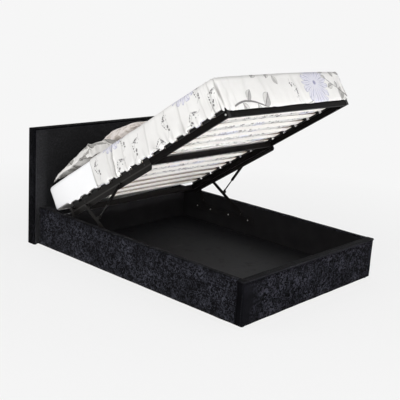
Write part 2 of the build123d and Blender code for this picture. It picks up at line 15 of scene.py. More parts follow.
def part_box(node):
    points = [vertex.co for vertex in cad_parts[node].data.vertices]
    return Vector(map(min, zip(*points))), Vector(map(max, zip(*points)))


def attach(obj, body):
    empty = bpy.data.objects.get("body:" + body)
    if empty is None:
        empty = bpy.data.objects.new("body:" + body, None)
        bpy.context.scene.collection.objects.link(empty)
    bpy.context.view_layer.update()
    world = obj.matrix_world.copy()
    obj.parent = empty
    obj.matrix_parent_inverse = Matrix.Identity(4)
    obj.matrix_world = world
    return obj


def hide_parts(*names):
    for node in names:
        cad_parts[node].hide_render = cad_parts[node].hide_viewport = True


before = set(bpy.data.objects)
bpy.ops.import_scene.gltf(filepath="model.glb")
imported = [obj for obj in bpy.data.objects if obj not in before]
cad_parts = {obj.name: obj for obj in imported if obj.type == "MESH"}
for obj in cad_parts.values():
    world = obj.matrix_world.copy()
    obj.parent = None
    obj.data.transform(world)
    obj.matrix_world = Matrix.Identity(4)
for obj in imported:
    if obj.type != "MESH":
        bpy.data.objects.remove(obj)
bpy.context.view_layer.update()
scene = bpy.context.scene

# %% [markdown]
# The camera stands off the bed's left foot corner, a little above the raised platform's foot.
# Its place and turn come from a fit to the corners of the box, and so does the small roll.

# %% Camera
picture_width = 400
focal_pixels = 795.4
sensor_width = 36
camera_place = Vector((-4.1587, -3.7221, 1.8974))
camera_yaw = math.radians(48.115)
camera_pitch = math.radians(14.488)
camera_roll = math.radians(3.668)


def camera_axes():
    """Right, up and forward directions of the camera."""
    flat = math.cos(camera_pitch)
    across, along = math.sin(camera_yaw) * flat, math.cos(camera_yaw) * flat
    forward = Vector((across, along, -math.sin(camera_pitch)))
    level_right = forward.cross(Vector((0, 0, 1))).normalized()
    level_up = level_right.cross(forward)
    right = level_right * math.cos(camera_roll) + level_up * math.sin(camera_roll)
    return right, right.cross(forward), forward


right, up, forward = camera_axes()
camera_data = bpy.data.cameras.new("camera")
camera_data.sensor_width = sensor_width
camera_data.lens = focal_pixels * sensor_width / picture_width
camera = bpy.data.objects.new("camera", camera_data)
turn = Matrix((right, up, -forward)).transposed().to_4x4()
camera.matrix_world = Matrix.Translation(camera_place) @ turn
scene.collection.objects.link(camera)
scene.camera = camera
print("lens:", round(camera_data.lens, 1), "mm")

# %% [markdown]
# Pieces on the platform are easiest to shape with the platform level, so they are made in its own
# axes: x across, y towards the head, z up from the middle of its tubes. One matrix then tilts them.

# %% The raised platform's place
platform_hinge_line = Vector((0, 0.64041, 0.34457))
platform_tilt = math.radians(32.8)
raised = Matrix.Translation(platform_hinge_line) @ Matrix.Rotation(-platform_tilt, 4, "X")

mattress_half = 0.6675
mattress_head = -0.203
mattress_foot = 1.655
mattress_bottom = 0.0505
mattress_thickness = 0.197
mattress_top = mattress_bottom + mattress_thickness
first_slat = 0.04
last_slat = 1.59
slat_step = (last_slat - first_slat) / 13
tube_side = 0.642
print("mattress:", round(mattress_half * 2, 3), "by", round(mattress_foot - mattress_head, 3), "m")

# %% Helpers for meshes


def make_piece(name, form, body, material, stands_for=()):
    """Turn a finished bmesh into an object that rides on a body of the model."""
    mesh = bpy.data.meshes.new(name)
    form.to_mesh(mesh)
    form.free()
    for face in mesh.polygons:
        face.use_smooth = True
    piece = bpy.data.objects.new(name, mesh)
    scene.collection.objects.link(piece)
    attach(piece, body)
    if stands_for:
        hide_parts(*stands_for)
    mesh.materials.append(material)
    return piece


def smooth_piece(piece):
    """Let a piece's grid bend smoothly between its points."""
    smooth = piece.modifiers.new("smooth", "SUBSURF")
    smooth.levels = 1
    smooth.render_levels = 1


def block_form(low, high):
    """A bmesh box between two corners."""
    form = bmesh.new()
    bmesh.ops.create_cube(form, size=1)
    size = [high[k] - low[k] for k in range(3)]
    middle = [(high[k] + low[k]) / 2 for k in range(3)]
    bmesh.ops.scale(form, vec=size, verts=form.verts)
    bmesh.ops.translate(form, vec=middle, verts=form.verts)
    return form


def slice_form(form, axis, low, high, count):
    """Cut a form into even slices along an axis, so that it can bend."""
    normal = [0, 0, 0]
    normal[axis] = 1
    for index in range(1, count):
        place = [0, 0, 0]
        place[axis] = low + (high - low) * index / count
        everything = form.verts[:] + form.edges[:] + form.faces[:]
        bmesh.ops.bisect_plane(form, geom=everything, plane_co=place, plane_no=normal)


def round_edges(form, edges, radius, segments):
    bmesh.ops.bevel(
        form, geom=edges, offset=radius, segments=segments, affect="EDGES", profile=0.5, material=-1
    )


def near(value, target):
    return abs(value - target) < 0.0001


def edges_at(form, **places):
    """The edges that lie wholly at the given x, y or z."""
    return [
        edge
        for edge in form.edges
        if all(
            near(getattr(vert.co, axis), place)
            for vert in edge.verts
            for axis, place in places.items()
        )
    ]


def ripple(form, amount, size, seed):
    """Push a form's surface in and out a little, as padding under cloth does."""
    form.normal_update()
    moved = {}
    for vert in form.verts:
        place = vert.co / size + Vector((seed, 0, 0))
        moved[vert] = vert.normal * (noise.noise(place) * amount)
    for vert, shift in moved.items():
        vert.co += shift


def tilt_form(form):
    """Put a form made on the level platform in its raised place."""
    bmesh.ops.transform(form, matrix=raised, verts=form.verts)


bead_sides = 10


def bead_form(corners, radius):
    """A round bead that runs straight from corner to corner."""
    form = bmesh.new()
    for first, last in zip(corners, corners[1:]):
        way = Vector(last) - Vector(first)
        turned = way.to_track_quat("Z", "Y").to_matrix().to_4x4()
        middle = Matrix.Translation((Vector(first) + Vector(last)) / 2)
        bmesh.ops.create_cone(
            form,
            cap_ends=True,
            segments=bead_sides,
            radius1=radius,
            radius2=radius,
            depth=way.length,
            matrix=middle @ turned,
        )
    for corner in corners[1:-1]:
        place = Matrix.Translation(corner)
        bmesh.ops.create_icosphere(form, subdivisions=2, radius=radius, matrix=place)
    return form

# %% Helpers for materials


class Value:
    """A socket of a node tree. Sums done with it add the Math nodes that work them out."""

    def __init__(self, socket):
        self.socket = socket
        self.tree = socket.id_data

    def math(self, operation, *others):
        """The result of a Math node that has this value as its first input."""
        return result_of(self.tree, "Math", dict(enumerate((self, *others))), operation=operation)

    def __add__(self, other):
        return self.math("ADD", other)

    def __sub__(self, other):
        return self.math("SUBTRACT", other)

    def __rsub__(self, other):
        return result_of(self.tree, "Math", {0: other, 1: self}, operation="SUBTRACT")

    def __mul__(self, other):
        return self.math("MULTIPLY", other)

    def __truediv__(self, other):
        return self.math("DIVIDE", other)

    def __mod__(self, other):
        return self.math("FLOORED_MODULO", other)

    def __abs__(self):
        return self.math("ABSOLUTE")

    def scaled(self, factor, added):
        return self.math("MULTIPLY_ADD", factor, added)

    def over(self, limit):
        return self.math("GREATER_THAN", limit)

    def or_more(self, other):
        return self.math("MAXIMUM", other)

    def span(self, low, high):
        """How far the value is from low to high, kept from 0 to 1."""
        ends = {"Value": self, "From Min": low, "From Max": high}
        return result_of(self.tree, "MapRange", ends, clamp=True)


def set_inputs(node, values):
    """Link or set a node's inputs."""
    for label, value in values.items():
        if isinstance(value, Value):
            node.id_data.links.new(value.socket, node.inputs[label])
        else:
            node.inputs[label].default_value = value


def add_node(tree, kind, inputs=(), **settings):
    """Add a shader node, set it up and fill its inputs."""
    made = tree.nodes.new("ShaderNode" + kind)
    for name, value in settings.items():
        setattr(made, name, value)
    set_inputs(made, dict(inputs))
    return made


def result_of(tree, kind, inputs=(), output=0, **settings):
    """Add a node and give one of its outputs."""
    return Value(add_node(tree, kind, inputs, **settings).outputs[output])


def use_group(tree, group, inputs):
    """Add a node group, fill its inputs and give its outputs by name."""
    used = add_node(tree, "Group", inputs, node_tree=group)
    return {output.name: Value(output) for output in used.outputs}


def new_group(name, inputs, outputs):
    """An empty node group. An input is a number, a colour of four parts, or else a vector."""
    group = bpy.data.node_groups.new(name, "ShaderNodeTree")
    for label, value in inputs.items():
        kind = "Vector"
        if isinstance(value, float):
            kind = "Float"
        elif value and len(value) == 4:
            kind = "Color"
        socket = group.interface.new_socket(label, in_out="INPUT", socket_type="NodeSocket" + kind)
        if value is not None:
            socket.default_value = value
    for label in outputs:
        kind = "Color" if label == "Color" else "Float"
        group.interface.new_socket(label, in_out="OUTPUT", socket_type="NodeSocket" + kind)
    given = group.nodes.new("NodeGroupInput")
    values = {label: Value(given.outputs[label]) for label in inputs}
    return values, group.nodes.new("NodeGroupOutput")


def mix_colours(share, first, second):
    """The colour between two others at a share from 0 to 1."""
    first_colour, second_colour, result_colour = 6, 7, 2
    inputs = {0: share, first_colour: first, second_colour: second}
    return result_of(share.tree, "Mix", inputs, result_colour, data_type="RGBA")


def noise_value(place, scale, detail=2.0, roughness=0.5, distortion=0.0):
    inputs = {
        "Vector": place,
        "Scale": scale,
        "Detail": detail,
        "Roughness": roughness,
        "Distortion": distortion,
    }
    return result_of(place.tree, "TexNoise", inputs, "Fac")


def parts_of(place):
    """The x, y and z of a vector."""
    return [Value(part) for part in add_node(place.tree, "SeparateXYZ", {0: place}).outputs]


def reach_along(vector, way):
    """How far a vector reaches along a direction."""
    ends = {0: vector, 1: way}
    return result_of(vector.tree, "VectorMath", ends, "Value", operation="DOT_PRODUCT")


def way_out(tree):
    """The direction that the surface faces."""
    return result_of(tree, "NewGeometry", output="Normal")


def new_finish(name):
    """A material, its shader, and the place on the object."""
    material = bpy.data.materials.new(name)
    material.use_nodes = True
    tree = material.node_tree
    return material, tree.nodes["Principled BSDF"], result_of(tree, "TexCoord", output="Object")


def dress(shader, colour, surface, depth):
    """Give a shader a colour, and the roughness and bump of a group, with the bump's depth."""
    bump = {"Height": surface["Height"], "Distance": depth, "Strength": 1.0}
    normal = result_of(colour.tree, "Bump", bump)
    set_inputs(shader, {"Base Color": colour, "Roughness": surface["Roughness"], "Normal": normal})


def opaque(*parts):
    return (*parts, 1)

# %% [markdown]
# Crushed velvet is a pile fabric that was pressed while damp, so its pile lies in many directions.
# From afar it is a dark cloth with soft lighter patches, streaks and tiny bright flecks. Painted
# shade darkens it on top, where the eye looks along the pile. One group makes the three sizes of
# mark, or an even pile where the cloth was not crushed.
# Woven cloth shows its threads only close up, so its group adds crossed fine waves for the weave
# and a slow noise for the unevenness of the dye.
# Slats are bent plywood of pale wood, so the grain runs across the bed, with long thin streaks and
# a few darker ones. Their noise is stretched along one axis by scaling the coordinates.
# Powder coat and moulded plastic both have a fine orange-peel skin. Handling leaves paler scuffs,
# which keep a black piece from being one flat black.
# Each group puts out a colour, a roughness and a bump height.

# %% Surface groups
surface_outputs = ["Color", "Roughness", "Height"]


def make_crushed_pile():
    inputs = {
        "Place": None,
        "Patches": 7.0,
        "Streaks": 72.0,
        "Flecks": 190.0,
        "Deep": (0.004, 0.004, 0.006, 1),
        "Lit": (0.04, 0.04, 0.055, 1),
        "Way out": None,
        "Smooth end": 0.0,
    }
    given, made = new_group("Crushed pile", inputs, surface_outputs)
    place = given["Place"]
    patches = noise_value(place, given["Patches"], 3.0, 0.55, 0.6)
    streaks = noise_value(place, given["Streaks"], 4.0, 0.6, 1.6)
    flecks = noise_value(place, given["Flecks"], 1.0, 0.5, 0.3)
    lit_patch = patches.span(0.40, 0.62)
    spread = lit_patch.scaled(0.52, 0.48)
    soft = streaks.span(0.46, 0.61) * spread
    bright = flecks.span(0.58, 0.70) * 0.55
    share = soft + bright * spread
    share.socket.node.use_clamp = True
    even = lit_patch.scaled(0.08, 0.10) * given["Smooth end"]
    share = share.scaled(1.0 - given["Smooth end"], even)
    colour = mix_colours(share, given["Deep"], given["Lit"])
    # Painted shade: the colour goes to the deep tone where the surface faces up, so tops read darker
    painted_top_shade = parts_of(given["Way out"])[2].span(0.35, 0.9) * 0.62
    colour = mix_colours(painted_top_shade, colour, given["Deep"])
    height = streaks + flecks * 0.3
    set_inputs(made, {"Color": colour, "Roughness": share.scaled(-0.25, 0.9), "Height": height})
    return made.id_data


def make_woven_cloth():
    inputs = {
        "Place": None,
        "Threads": 620.0,
        "Color": (0.8, 0.8, 0.8, 1),
        "Shade": (0.6, 0.6, 0.6, 1),
        "Unevenness": 0.3,
    }
    given, made = new_group("Woven cloth", inputs, surface_outputs)
    place = given["Place"]
    waves = [(part * given["Threads"]).math("SINE") for part in parts_of(place)]
    weave = (waves[0] + waves[2]) * waves[1]
    slub = noise_value(place, 150.0, 2.0)
    shade = noise_value(place, 9.0, 3.0).span(0.35, 0.75) * given["Unevenness"]
    dye = mix_colours(shade, given["Color"], given["Shade"])
    height = weave.scaled(0.25, slub)
    set_inputs(made, {"Color": dye, "Roughness": slub.scaled(0.12, 0.82), "Height": height})
    return made.id_data


def make_wood_grain():
    inputs = {
        "Place": None,
        "Stretch": (1.0, 22.0, 22.0),
        "Pale": (0.8, 0.72, 0.6, 1),
        "Dark": (0.5, 0.38, 0.26, 1),
    }
    given, made = new_group("Wood grain", inputs, surface_outputs)
    scaling = {0: given["Place"], 1: given["Stretch"]}
    stretched = result_of(made.id_data, "VectorMath", scaling, operation="MULTIPLY")
    broad = noise_value(stretched, 2.2, 4.0, 0.6, 0.4)
    fine = noise_value(stretched, 16.0, 3.0, 0.6)
    share = fine.span(0.5, 0.8).scaled(0.3, broad.span(0.35, 0.8) * 0.45)
    colour = mix_colours(share, given["Pale"], given["Dark"])
    set_inputs(made, {"Color": colour, "Roughness": fine.scaled(0.25, 0.45), "Height": fine})
    return made.id_data


def make_coated_skin():
    inputs = {
        "Place": None,
        "Grain": 700.0,
        "Color": (0.02, 0.02, 0.02, 1),
        "Scuff": (0.08, 0.08, 0.08, 1),
        "Gloss": 0.4,
    }
    given, made = new_group("Coated skin", inputs, surface_outputs)
    place = given["Place"]
    peel = noise_value(place, given["Grain"], 2.0)
    scuffs = noise_value(place, 14.0, 5.0, 0.65).span(0.56, 0.8)
    colour = mix_colours(scuffs, given["Color"], given["Scuff"])
    roughness = scuffs.scaled(0.2, given["Gloss"])
    set_inputs(made, {"Color": colour, "Roughness": roughness, "Height": peel})
    return made.id_data


crushed_pile = make_crushed_pile()
woven_cloth = make_woven_cloth()
wood_grain = make_wood_grain()
coated_skin = make_coated_skin()
print("surface groups:", len(bpy.data.node_groups))

# %% [markdown]
# Each finish below places one of the groups with its own values. Numbers that are the same all over
# a surface, such as sheen or metal's specular level, are set on the shader itself. The rigid pieces
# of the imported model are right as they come, so they only get a finish.

# %% Finishes for cloth
pile_depth = 0.0012
short_pile_depth = 0.0002
weave_depth = 0.00015
peel_depth = 0.00005
polish_depth = peel_depth / 5
grain_depth = 0.0001
sawn_depth = grain_depth * 3
plain_specular = 0.5
sheen_roughness = 0.4
short_pile_marks = {"Patches": 5.0, "Streaks": 90.0, "Flecks": 600.0}


def finish_with(name, group, values, depth, shader_values, over=None):
    """A material that takes colour, roughness and bump from a group.

    A value can be a function of the place, and another colour can lie over the group's own,
    given with the function that says how much of it shows."""
    material, shader, place = new_finish(name)
    inputs = {label: value(place) if callable(value) else value for label, value in values.items()}
    surface = use_group(place.tree, group, {"Place": place} | inputs)
    colour = surface["Color"]
    if over:
        tone, share_at = over
        colour = mix_colours(share_at(place), colour, tone)
    dress(shader, colour, surface, depth)
    set_inputs(shader, shader_values)
    return material


def velvet(name, deep, lit, specular, sheen=0.0, depth=pile_depth, **marks):
    values = {
        "Deep": opaque(*deep),
        "Lit": opaque(*lit),
        # The way the surface faces drives the group's painted shade on top
        "Way out": lambda place: way_out(place.tree),
    }
    constants = {"Specular IOR Level": specular}
    if sheen:
        constants |= {"Sheen Weight": sheen, "Sheen Roughness": sheen_roughness}
    return finish_with(name, crushed_pile, values | marks, depth, constants)


def smooth_pile(name, deep, lit, specular, sheen=0.0):
    """Velvet with a short pile that was never crushed."""
    return velvet(name, deep, lit, specular, sheen, short_pile_depth, **short_pile_marks)


smooth_from = 0.54
smooth_full = 0.66


def smooth_end(place):
    """1 near the left end of the foot panel, where its cloth is left uncrushed."""
    shift = noise_value(place, 9.0).scaled(0.2, -0.1)
    return (parts_of(place)[0] * -1.0 + shift).span(smooth_from, smooth_full)


crushed_velvet = velvet(
    "crushed velvet", (0.0008, 0.0008, 0.0012), (0.040, 0.041, 0.053), 0.05, 0.02, Streaks=48.0
)
# Painted shade: the foot panel gets the rails' crushed velvet in darker tones, as lamps light it more
foot_velvet = velvet(
    "foot panel velvet", (0.0003, 0.0003, 0.0005), (0.0205, 0.0203, 0.0262), 0.02, Streaks=40.0,
    **{"Smooth end": smooth_end},
)
# Painted shade: the headboard's borders get the crushed velvet in darker tones, as they lie in shade
border_velvet = velvet("border velvet", (0.0006, 0.0006, 0.0009), (0.013, 0.013, 0.016), 0.02)
smooth_velvet = smooth_pile(
    "smooth velvet", (0.0125, 0.0125, 0.0135), (0.025, 0.025, 0.027), 0.05, 0.02
)
# Painted shade: the foot panel's top band gets the smooth velvet in darker tones, against the lamps
band_velvet = smooth_pile("band velvet", (0.008, 0.008, 0.009), (0.016, 0.016, 0.018), 0.03)
seam_velvet = smooth_pile("seam velvet", (0.003, 0.003, 0.004), (0.009, 0.009, 0.011), 0.03)
bead_velvet = smooth_pile("bead velvet", (0.016, 0.016, 0.018), (0.034, 0.034, 0.038), 0.05, 0.05)


def woven(name, threads, colour, shade, unevenness, specular, over=None):
    values = {
        "Threads": threads,
        "Color": opaque(*colour),
        "Shade": opaque(*shade),
        "Unevenness": unevenness,
    }
    constants = {"Specular IOR Level": specular}
    return finish_with(name, woven_cloth, values, weave_depth, constants, over)


# Painted shade: the mattress's underside lies in the slats' shade, so it is painted greyer than its
# sides
platform_down_way = (0, -math.sin(platform_tilt), -math.cos(platform_tilt))
painted_underside_shade = (0.42, 0.41, 0.40, 1)


def underside_shade_share(place):
    """How much the surface faces down from the platform, which sets its painted shade."""
    return reach_along(way_out(place.tree), platform_down_way).span(0.45, 0.80)


black_lining = woven(
    "black lining", 620.0, (0.0105, 0.0100, 0.0108), (0.018, 0.0172, 0.018), 0.6, 0.08
)
dust_cover = woven("dust cover", 420.0, (0.02, 0.02, 0.021), (0.035, 0.034, 0.033), 0.7, 0.2)
ticking = woven(
    "mattress ticking", 900.0, (0.96, 0.96, 0.97), (0.91, 0.91, 0.92), 0.3, plain_specular,
    # painted shade on the mattress's underside, by how much it faces down
    (painted_underside_shade, underside_shade_share),
)
print("cloth finishes made")

# %% Finishes for metal, plastic and wood
platform_length_way = (0, -math.cos(platform_tilt), math.sin(platform_tilt))
platform_up_way = Vector((0, math.sin(platform_tilt), math.cos(platform_tilt)))
edge_brown = (0.19, 0.145, 0.11, 1)
lip_height = -0.016
lip_half = 0.003
# Painted highlight along the bars' rolled lip
painted_lip_highlight = (0.034, 0.032, 0.030, 1)
bright_until = -0.60
black_from = -0.50
bolt_black = (0.035, 0.034, 0.033, 1)


def on_long_edge(place):
    """The slats' long edges show the browner glue lines of the plywood."""
    return abs(reach_along(way_out(place.tree), platform_length_way)).span(0.4, 0.8)


def lip_highlight_share(place):
    """The bars along the side tubes have a rolled lip, with a painted highlight along it."""
    lip_level = platform_hinge_line.dot(platform_up_way) + lip_height
    height = reach_along(place, platform_up_way) - lip_level
    return abs(height).span(lip_half * 2, lip_half)


def far_from_foot(place):
    """The platform's bolts are bright zinc at the foot corners and near black along the bars."""
    return parts_of(place)[1].span(bright_until, black_from)


pale_slat = finish_with(
    "pale slats", wood_grain, {"Pale": (0.90, 0.88, 0.85, 1), "Dark": (0.80, 0.75, 0.68, 1)},
    grain_depth, {}, (edge_brown, on_long_edge),
)
sawn_timber = finish_with(
    "sawn timber", wood_grain,
    {"Stretch": (14.0, 1.0, 14.0), "Pale": (0.62, 0.48, 0.32, 1), "Dark": (0.4, 0.27, 0.16, 1)},
    sawn_depth, {},
)


def give_finish(material, pieces):
    """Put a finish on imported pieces, named in one text with spaces between."""
    for node in pieces.split():
        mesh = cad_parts[node].data
        mesh.materials.clear()
        mesh.materials.append(material)
        finished.append(node)


def coat(
    name, colour, scuff, gloss, pieces, grain=700.0, specular=plain_specular, metal=0.0,
    depth=peel_depth, over=None,
):
    """A coated or bare hard skin, from its colour, its scuffs and how rough it is."""
    values = {"Color": opaque(*colour), "Scuff": opaque(*scuff), "Gloss": gloss, "Grain": grain}
    constants = {"Specular IOR Level": specular, "Metallic": metal}
    give_finish(finish_with(name, coated_skin, values, depth, constants, over), pieces)


finished = []
give_finish(
    black_lining, "left_rail_lining right_rail_lining foot_panel_lining head_wall corner_blocks"
)
give_finish(dust_cover, "headboard_back_cover")
give_finish(pale_slat, "slats")
give_finish(sawn_timber, "headboard_core left_rail_board right_rail_board foot_panel_board")
give_finish(sawn_timber, "floor_ledges centre_bearer")

hardware_tones = ((0.0085, 0.0076, 0.0072), (0.022, 0.020, 0.018))
zinc_tones = ((0.62, 0.62, 0.61), (0.42, 0.42, 0.41))
coat(
    "black powder coat", (0.0040, 0.0035, 0.0033), (0.012, 0.0105, 0.010), 0.5,
    "corner_plates left_side_tube right_side_tube foot_tube middle_tube head_tube strut_cylinders",
    specular=0.04,
)
coat(
    "hardware coat", *hardware_tones, 0.4,
    "left_lift_arm right_lift_arm left_rear_link right_rear_link strut_end_fittings", specular=0.08,
)
coat(
    "bar coat", *hardware_tones, 0.4, "left_upper_bar right_upper_bar", specular=0.08,
    # a painted highlight on the rolled lip
    over=(painted_lip_highlight, lip_highlight_share),
)
coat(
    "plate coat", (0.0115, 0.0108, 0.0112), (0.021, 0.020, 0.020), 0.5,
    "left_lower_plate right_lower_plate", specular=0.06,
)
coat(
    "black moulded plastic", (0.006, 0.006, 0.006), (0.016, 0.016, 0.016), 0.5,
    "floor_glides bearer_feet tube_plugs slat_holders", grain=900.0, specular=0.2,
)
# Painted highlight: the head wall's edging is pale grey where light from above falls on its top edge
coat("edge strip", (0.07, 0.07, 0.075), (0.12, 0.12, 0.12), 0.45, "head_wall_edging")
coat("rubber", (0.02, 0.02, 0.02), (0.05, 0.05, 0.05), 0.75, "stop_pads", grain=500.0)
coat(
    "dark faced board", (0.008, 0.008, 0.009), (0.015, 0.015, 0.015), 0.55,
    "floor_board_1 floor_board_2 floor_board_3", grain=300.0, specular=0.15,
)
coat("zinc plated steel", *zinc_tones, 0.24, "corner_bolts arm_pivot_pins", grain=1200.0, metal=1.0)
coat(
    "bolt steel", *zinc_tones, 0.28, "platform_bolts", grain=1200.0, metal=1.0,
    over=(bolt_black, far_from_foot),
)
coat(
    "blackened steel", (0.035, 0.034, 0.033), (0.09, 0.088, 0.085), 0.35,
    "link_rivets platform_pins", grain=1200.0, metal=1.0,
)
coat(
    "screw steel", (0.90, 0.89, 0.86), (0.75, 0.74, 0.72), 0.5, "plate_screws",
    grain=1200.0, metal=0.6,
)
coat(
    "dark hardened rod", (0.05, 0.048, 0.046), (0.035, 0.033, 0.032), 0.14, "strut_rods",
    grain=1500.0, metal=1.0, depth=polish_depth,
)
print("packed pieces finished:", len(finished))

# %% [markdown]
# The headboard is a timber core with a padded front and a border of velvet round it. The pad
# starts as a box, gets rounded front edges and a grid of slices, and swells a little in the middle.

# %% Headboard
pad_crown = 0.005
slice_length = 0.045
pad_ripple = (0.0012, 0.11)
border_round = 0.007
thin_round = 0.006


def padded_board(node, radius, seed, corners, swells=False):
    """A box of a node's size with soft edges and a gently uneven face.

    Each edge to round is given by the axes it stays on: 0 for the box's low end, 1 for its high."""
    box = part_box(node)
    low, high = box
    form = block_form(low, high)
    edges = []
    for corner in corners:
        places = {axis: box[end]["xyz".index(axis)] for axis, end in corner.items()}
        edges += edges_at(form, **places)
    round_edges(form, edges, radius, 4)
    for axis in range(3):
        count = max(1, round((high[axis] - low[axis]) / slice_length))
        slice_form(form, axis, low[axis], high[axis], count)
    if swells:
        for vert in form.verts:
            share = (high[1] - vert.co.y) / (high[1] - low[1])
            for axis in (0, 2):
                half = (high[axis] - low[axis]) / 2
                away = (vert.co[axis] - (high[axis] + low[axis]) / 2) / half
                share *= 1 - min(1, abs(away)) ** 6
            vert.co.y -= pad_crown * share
    ripple(form, *pad_ripple, seed)
    return form


front_pad_form = padded_board("headboard_front_pad", thin_round, 3.0, [{"y": 0}], swells=True)
front_pad = make_piece(
    "headboard_pad", front_pad_form, "base", smooth_velvet, ["headboard_front_pad"]
)

# Each border with its roundness, its seed and the edges that are rounded
borders = {
    "left": (border_round, 4.0, [{"x": 0, "y": 0}, {"x": 0, "z": 1}]),
    "right": (border_round, 6.0, [{"x": 1, "y": 0}, {"x": 1, "z": 1}]),
    "top": (thin_round, 8.0, [{"y": 0, "z": 1}]),
}
for side, (radius, seed, corners) in borders.items():
    node = "headboard_top_border" if side == "top" else f"{side}_headboard_border"
    form = padded_board(node, radius, seed, corners)
    piece = make_piece(f"{side}_border", form, "base", border_velvet, [node])

# A sewn bead runs up both sides of the pad and along its top
bead_radius = 0.003
pad_low, pad_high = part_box("headboard_front_pad")
bead_front = pad_low[1] - bead_radius / 3
bead_foot = pad_low[2] + bead_radius
bead_corners = [
    (pad_low[0], bead_front, bead_foot),
    (pad_low[0], bead_front, pad_high[2]),
    (pad_high[0], bead_front, pad_high[2]),
    (pad_high[0], bead_front, bead_foot),
]
bead = bead_form(bead_corners, bead_radius)
make_piece("headboard_bead", bead, "base", bead_velvet)
print("headboard pieces:", 2 + len(borders))

# %% [markdown]
# The rails are boards with foam and crushed velvet pulled over the outside and the top. Each cover
# is an angle section: its outline is a face of six corners, pulled out along the rail. The foot
# panel's cover is a sheet over its front and both ends, with a smooth band along the top.

# %% Rails and foot panel
cover_thickness = 0.01
cover_round = 0.009
cover_ripple = (0.0014, 0.09)
cover_rows = 9
rail_slices = 64
foot_slices = 48
band_round = 0.003


def rail_cover_form(node, sign):
    low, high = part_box(node)
    outer, inner = (high[0], low[0]) if sign > 0 else (low[0], high[0])
    skin = outer - sign * cover_thickness
    under_top = high[2] - cover_thickness
    corners = [
        (outer, low[2]),
        (outer, high[2]),
        (inner, high[2]),
        (inner, under_top),
        (skin, under_top),
        (skin, low[2]),
    ]
    form = bmesh.new()
    face = form.faces.new([form.verts.new((x, low[1], z)) for x, z in corners])
    pulled = bmesh.ops.extrude_face_region(form, geom=[face])
    tips = [part for part in pulled["geom"] if isinstance(part, bmesh.types.BMVert)]
    bmesh.ops.translate(form, vec=(0, high[1] - low[1], 0), verts=tips)
    bmesh.ops.recalc_face_normals(form, faces=form.faces)
    round_edges(form, edges_at(form, x=outer, z=high[2]), cover_round, 5)
    round_edges(form, edges_at(form, x=inner, z=high[2]), cover_round / 3, 3)
    slice_form(form, 1, low[1], high[1], rail_slices)
    slice_form(form, 2, low[2], high[2], cover_rows)
    ripple(form, *cover_ripple, 11.0 + sign)
    return form


for side, sign in (("left", -1), ("right", 1)):
    node = f"{side}_rail_cover"
    form = rail_cover_form(node, sign)
    piece = make_piece(
        f"{side}_rail_velvet", form, "base", crushed_velvet, [node]
    )

foot_low, foot_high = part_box("foot_panel_cover")
foot_form = block_form(foot_low, foot_high)
upright = edges_at(foot_form, x=foot_low[0], y=foot_low[1])
upright += edges_at(foot_form, x=foot_high[0], y=foot_low[1])
round_edges(foot_form, upright, cover_round, 5)
slice_form(foot_form, 0, foot_low[0], foot_high[0], foot_slices)
slice_form(foot_form, 2, foot_low[2], foot_high[2], cover_rows)
ripple(foot_form, *cover_ripple, 21.0)
inside = [face for face in foot_form.faces if face.normal.y > 0.9 or abs(face.normal.z) > 0.9]
bmesh.ops.delete(foot_form, geom=inside, context="FACES")
foot_cover = make_piece(
    "foot_velvet", foot_form, "base", foot_velvet, ["foot_panel_cover"]
)
thick = foot_cover.modifiers.new("cloth and foam", "SOLIDIFY")
thick.thickness = cover_thickness * 0.9
thick.offset = -1

band_form = padded_board("foot_panel_top_band", band_round, 25.0, [{"y": 0, "z": 1}])
foot_band = make_piece(
    "foot_band", band_form, "base", band_velvet, ["foot_panel_top_band"]
)

# Seams close the smooth strip at each end of the foot panel, and one runs under its top band
seam_inset = 0.010
seam_foot = foot_low[2] + bead_radius
band_seam_corners = [
    (foot_low[0], foot_high[1], foot_high[2]),
    (foot_low[0], foot_low[1], foot_high[2]),
    (foot_high[0], foot_low[1], foot_high[2]),
    (foot_high[0], foot_high[1], foot_high[2]),
]
seams = {}
for side, sign in (("left", -1), ("right", 1)):
    end = sign * foot_high[0]
    for place, along in (("rail", foot_high[1]), ("front", foot_low[1] + seam_inset)):
        seams[f"{side}_{place}_end_seam"] = [(end, along, seam_foot), (end, along, foot_high[2])]
seams["foot_band_seam"] = band_seam_corners
for name, corners in seams.items():
    make_piece(name, bead_form(corners, bead_radius), "base", seam_velvet)
print("foot panel covered, seams:", len(seams))

# %% [markdown]
# The mattress is a box with rounded corners. A sliced cube is rounded by moving each point: first
# in plan for the upright corners, then in section for the long edges, as on a real one. Its
# underside hangs a little between the slats and over the tubes.

# %% Mattress
plan_round = 0.05
top_edge_round = 0.030
low_edge_round = 0.018
crown_drop = 0.01
foot_slump = 0.007
slump_from = 1.25
edge_rest = 0.0145
edge_sag = 0.0140
foot_sag = 0.040
middle_sag = 0.014
holder_edge = 0.033
gap_edge = 0.041
low_band = 0.06
past_tube_span = 0.012
foot_sag_from = 0.016
foot_sag_full = 0.002
head_rest_from = -0.03
# Beside the headboard the underside's far corner sits a little higher
corner_lift = 0.022
lift_across = (-0.30, 0.60)
lift_along = (-0.06, 0.06)


def smooth_step(value, low, high):
    share = min(1, max(0, (value - low) / (high - low)))
    return share * share * (3 - 2 * share)


def sag_at(place):
    """How far cloth hangs down between the slats at a place on the level platform."""
    along = -place.y
    from_slat = (along - first_slat + slat_step / 2) % slat_step - slat_step / 2
    between = smooth_step(abs(from_slat), holder_edge, gap_edge)
    past_tube = smooth_step(abs(place.x), tube_side, tube_side + past_tube_span)
    past_foot = smooth_step(along, mattress_foot - foot_sag_from, mattress_foot - foot_sag_full)
    inside = (1 - past_tube) * (1 - past_foot)
    on_platform = smooth_step(along, head_rest_from, 0)
    across = 1 - (place.x / tube_side) ** 8 if abs(place.x) < tube_side else 0
    low = 1 - smooth_step(place.z, mattress_bottom, mattress_bottom + low_band)
    side_sag = edge_rest + between * edge_sag
    hanging = max(side_sag * past_tube * on_platform, past_foot * foot_sag)
    return low * (hanging + inside * between * across * middle_sag * on_platform)


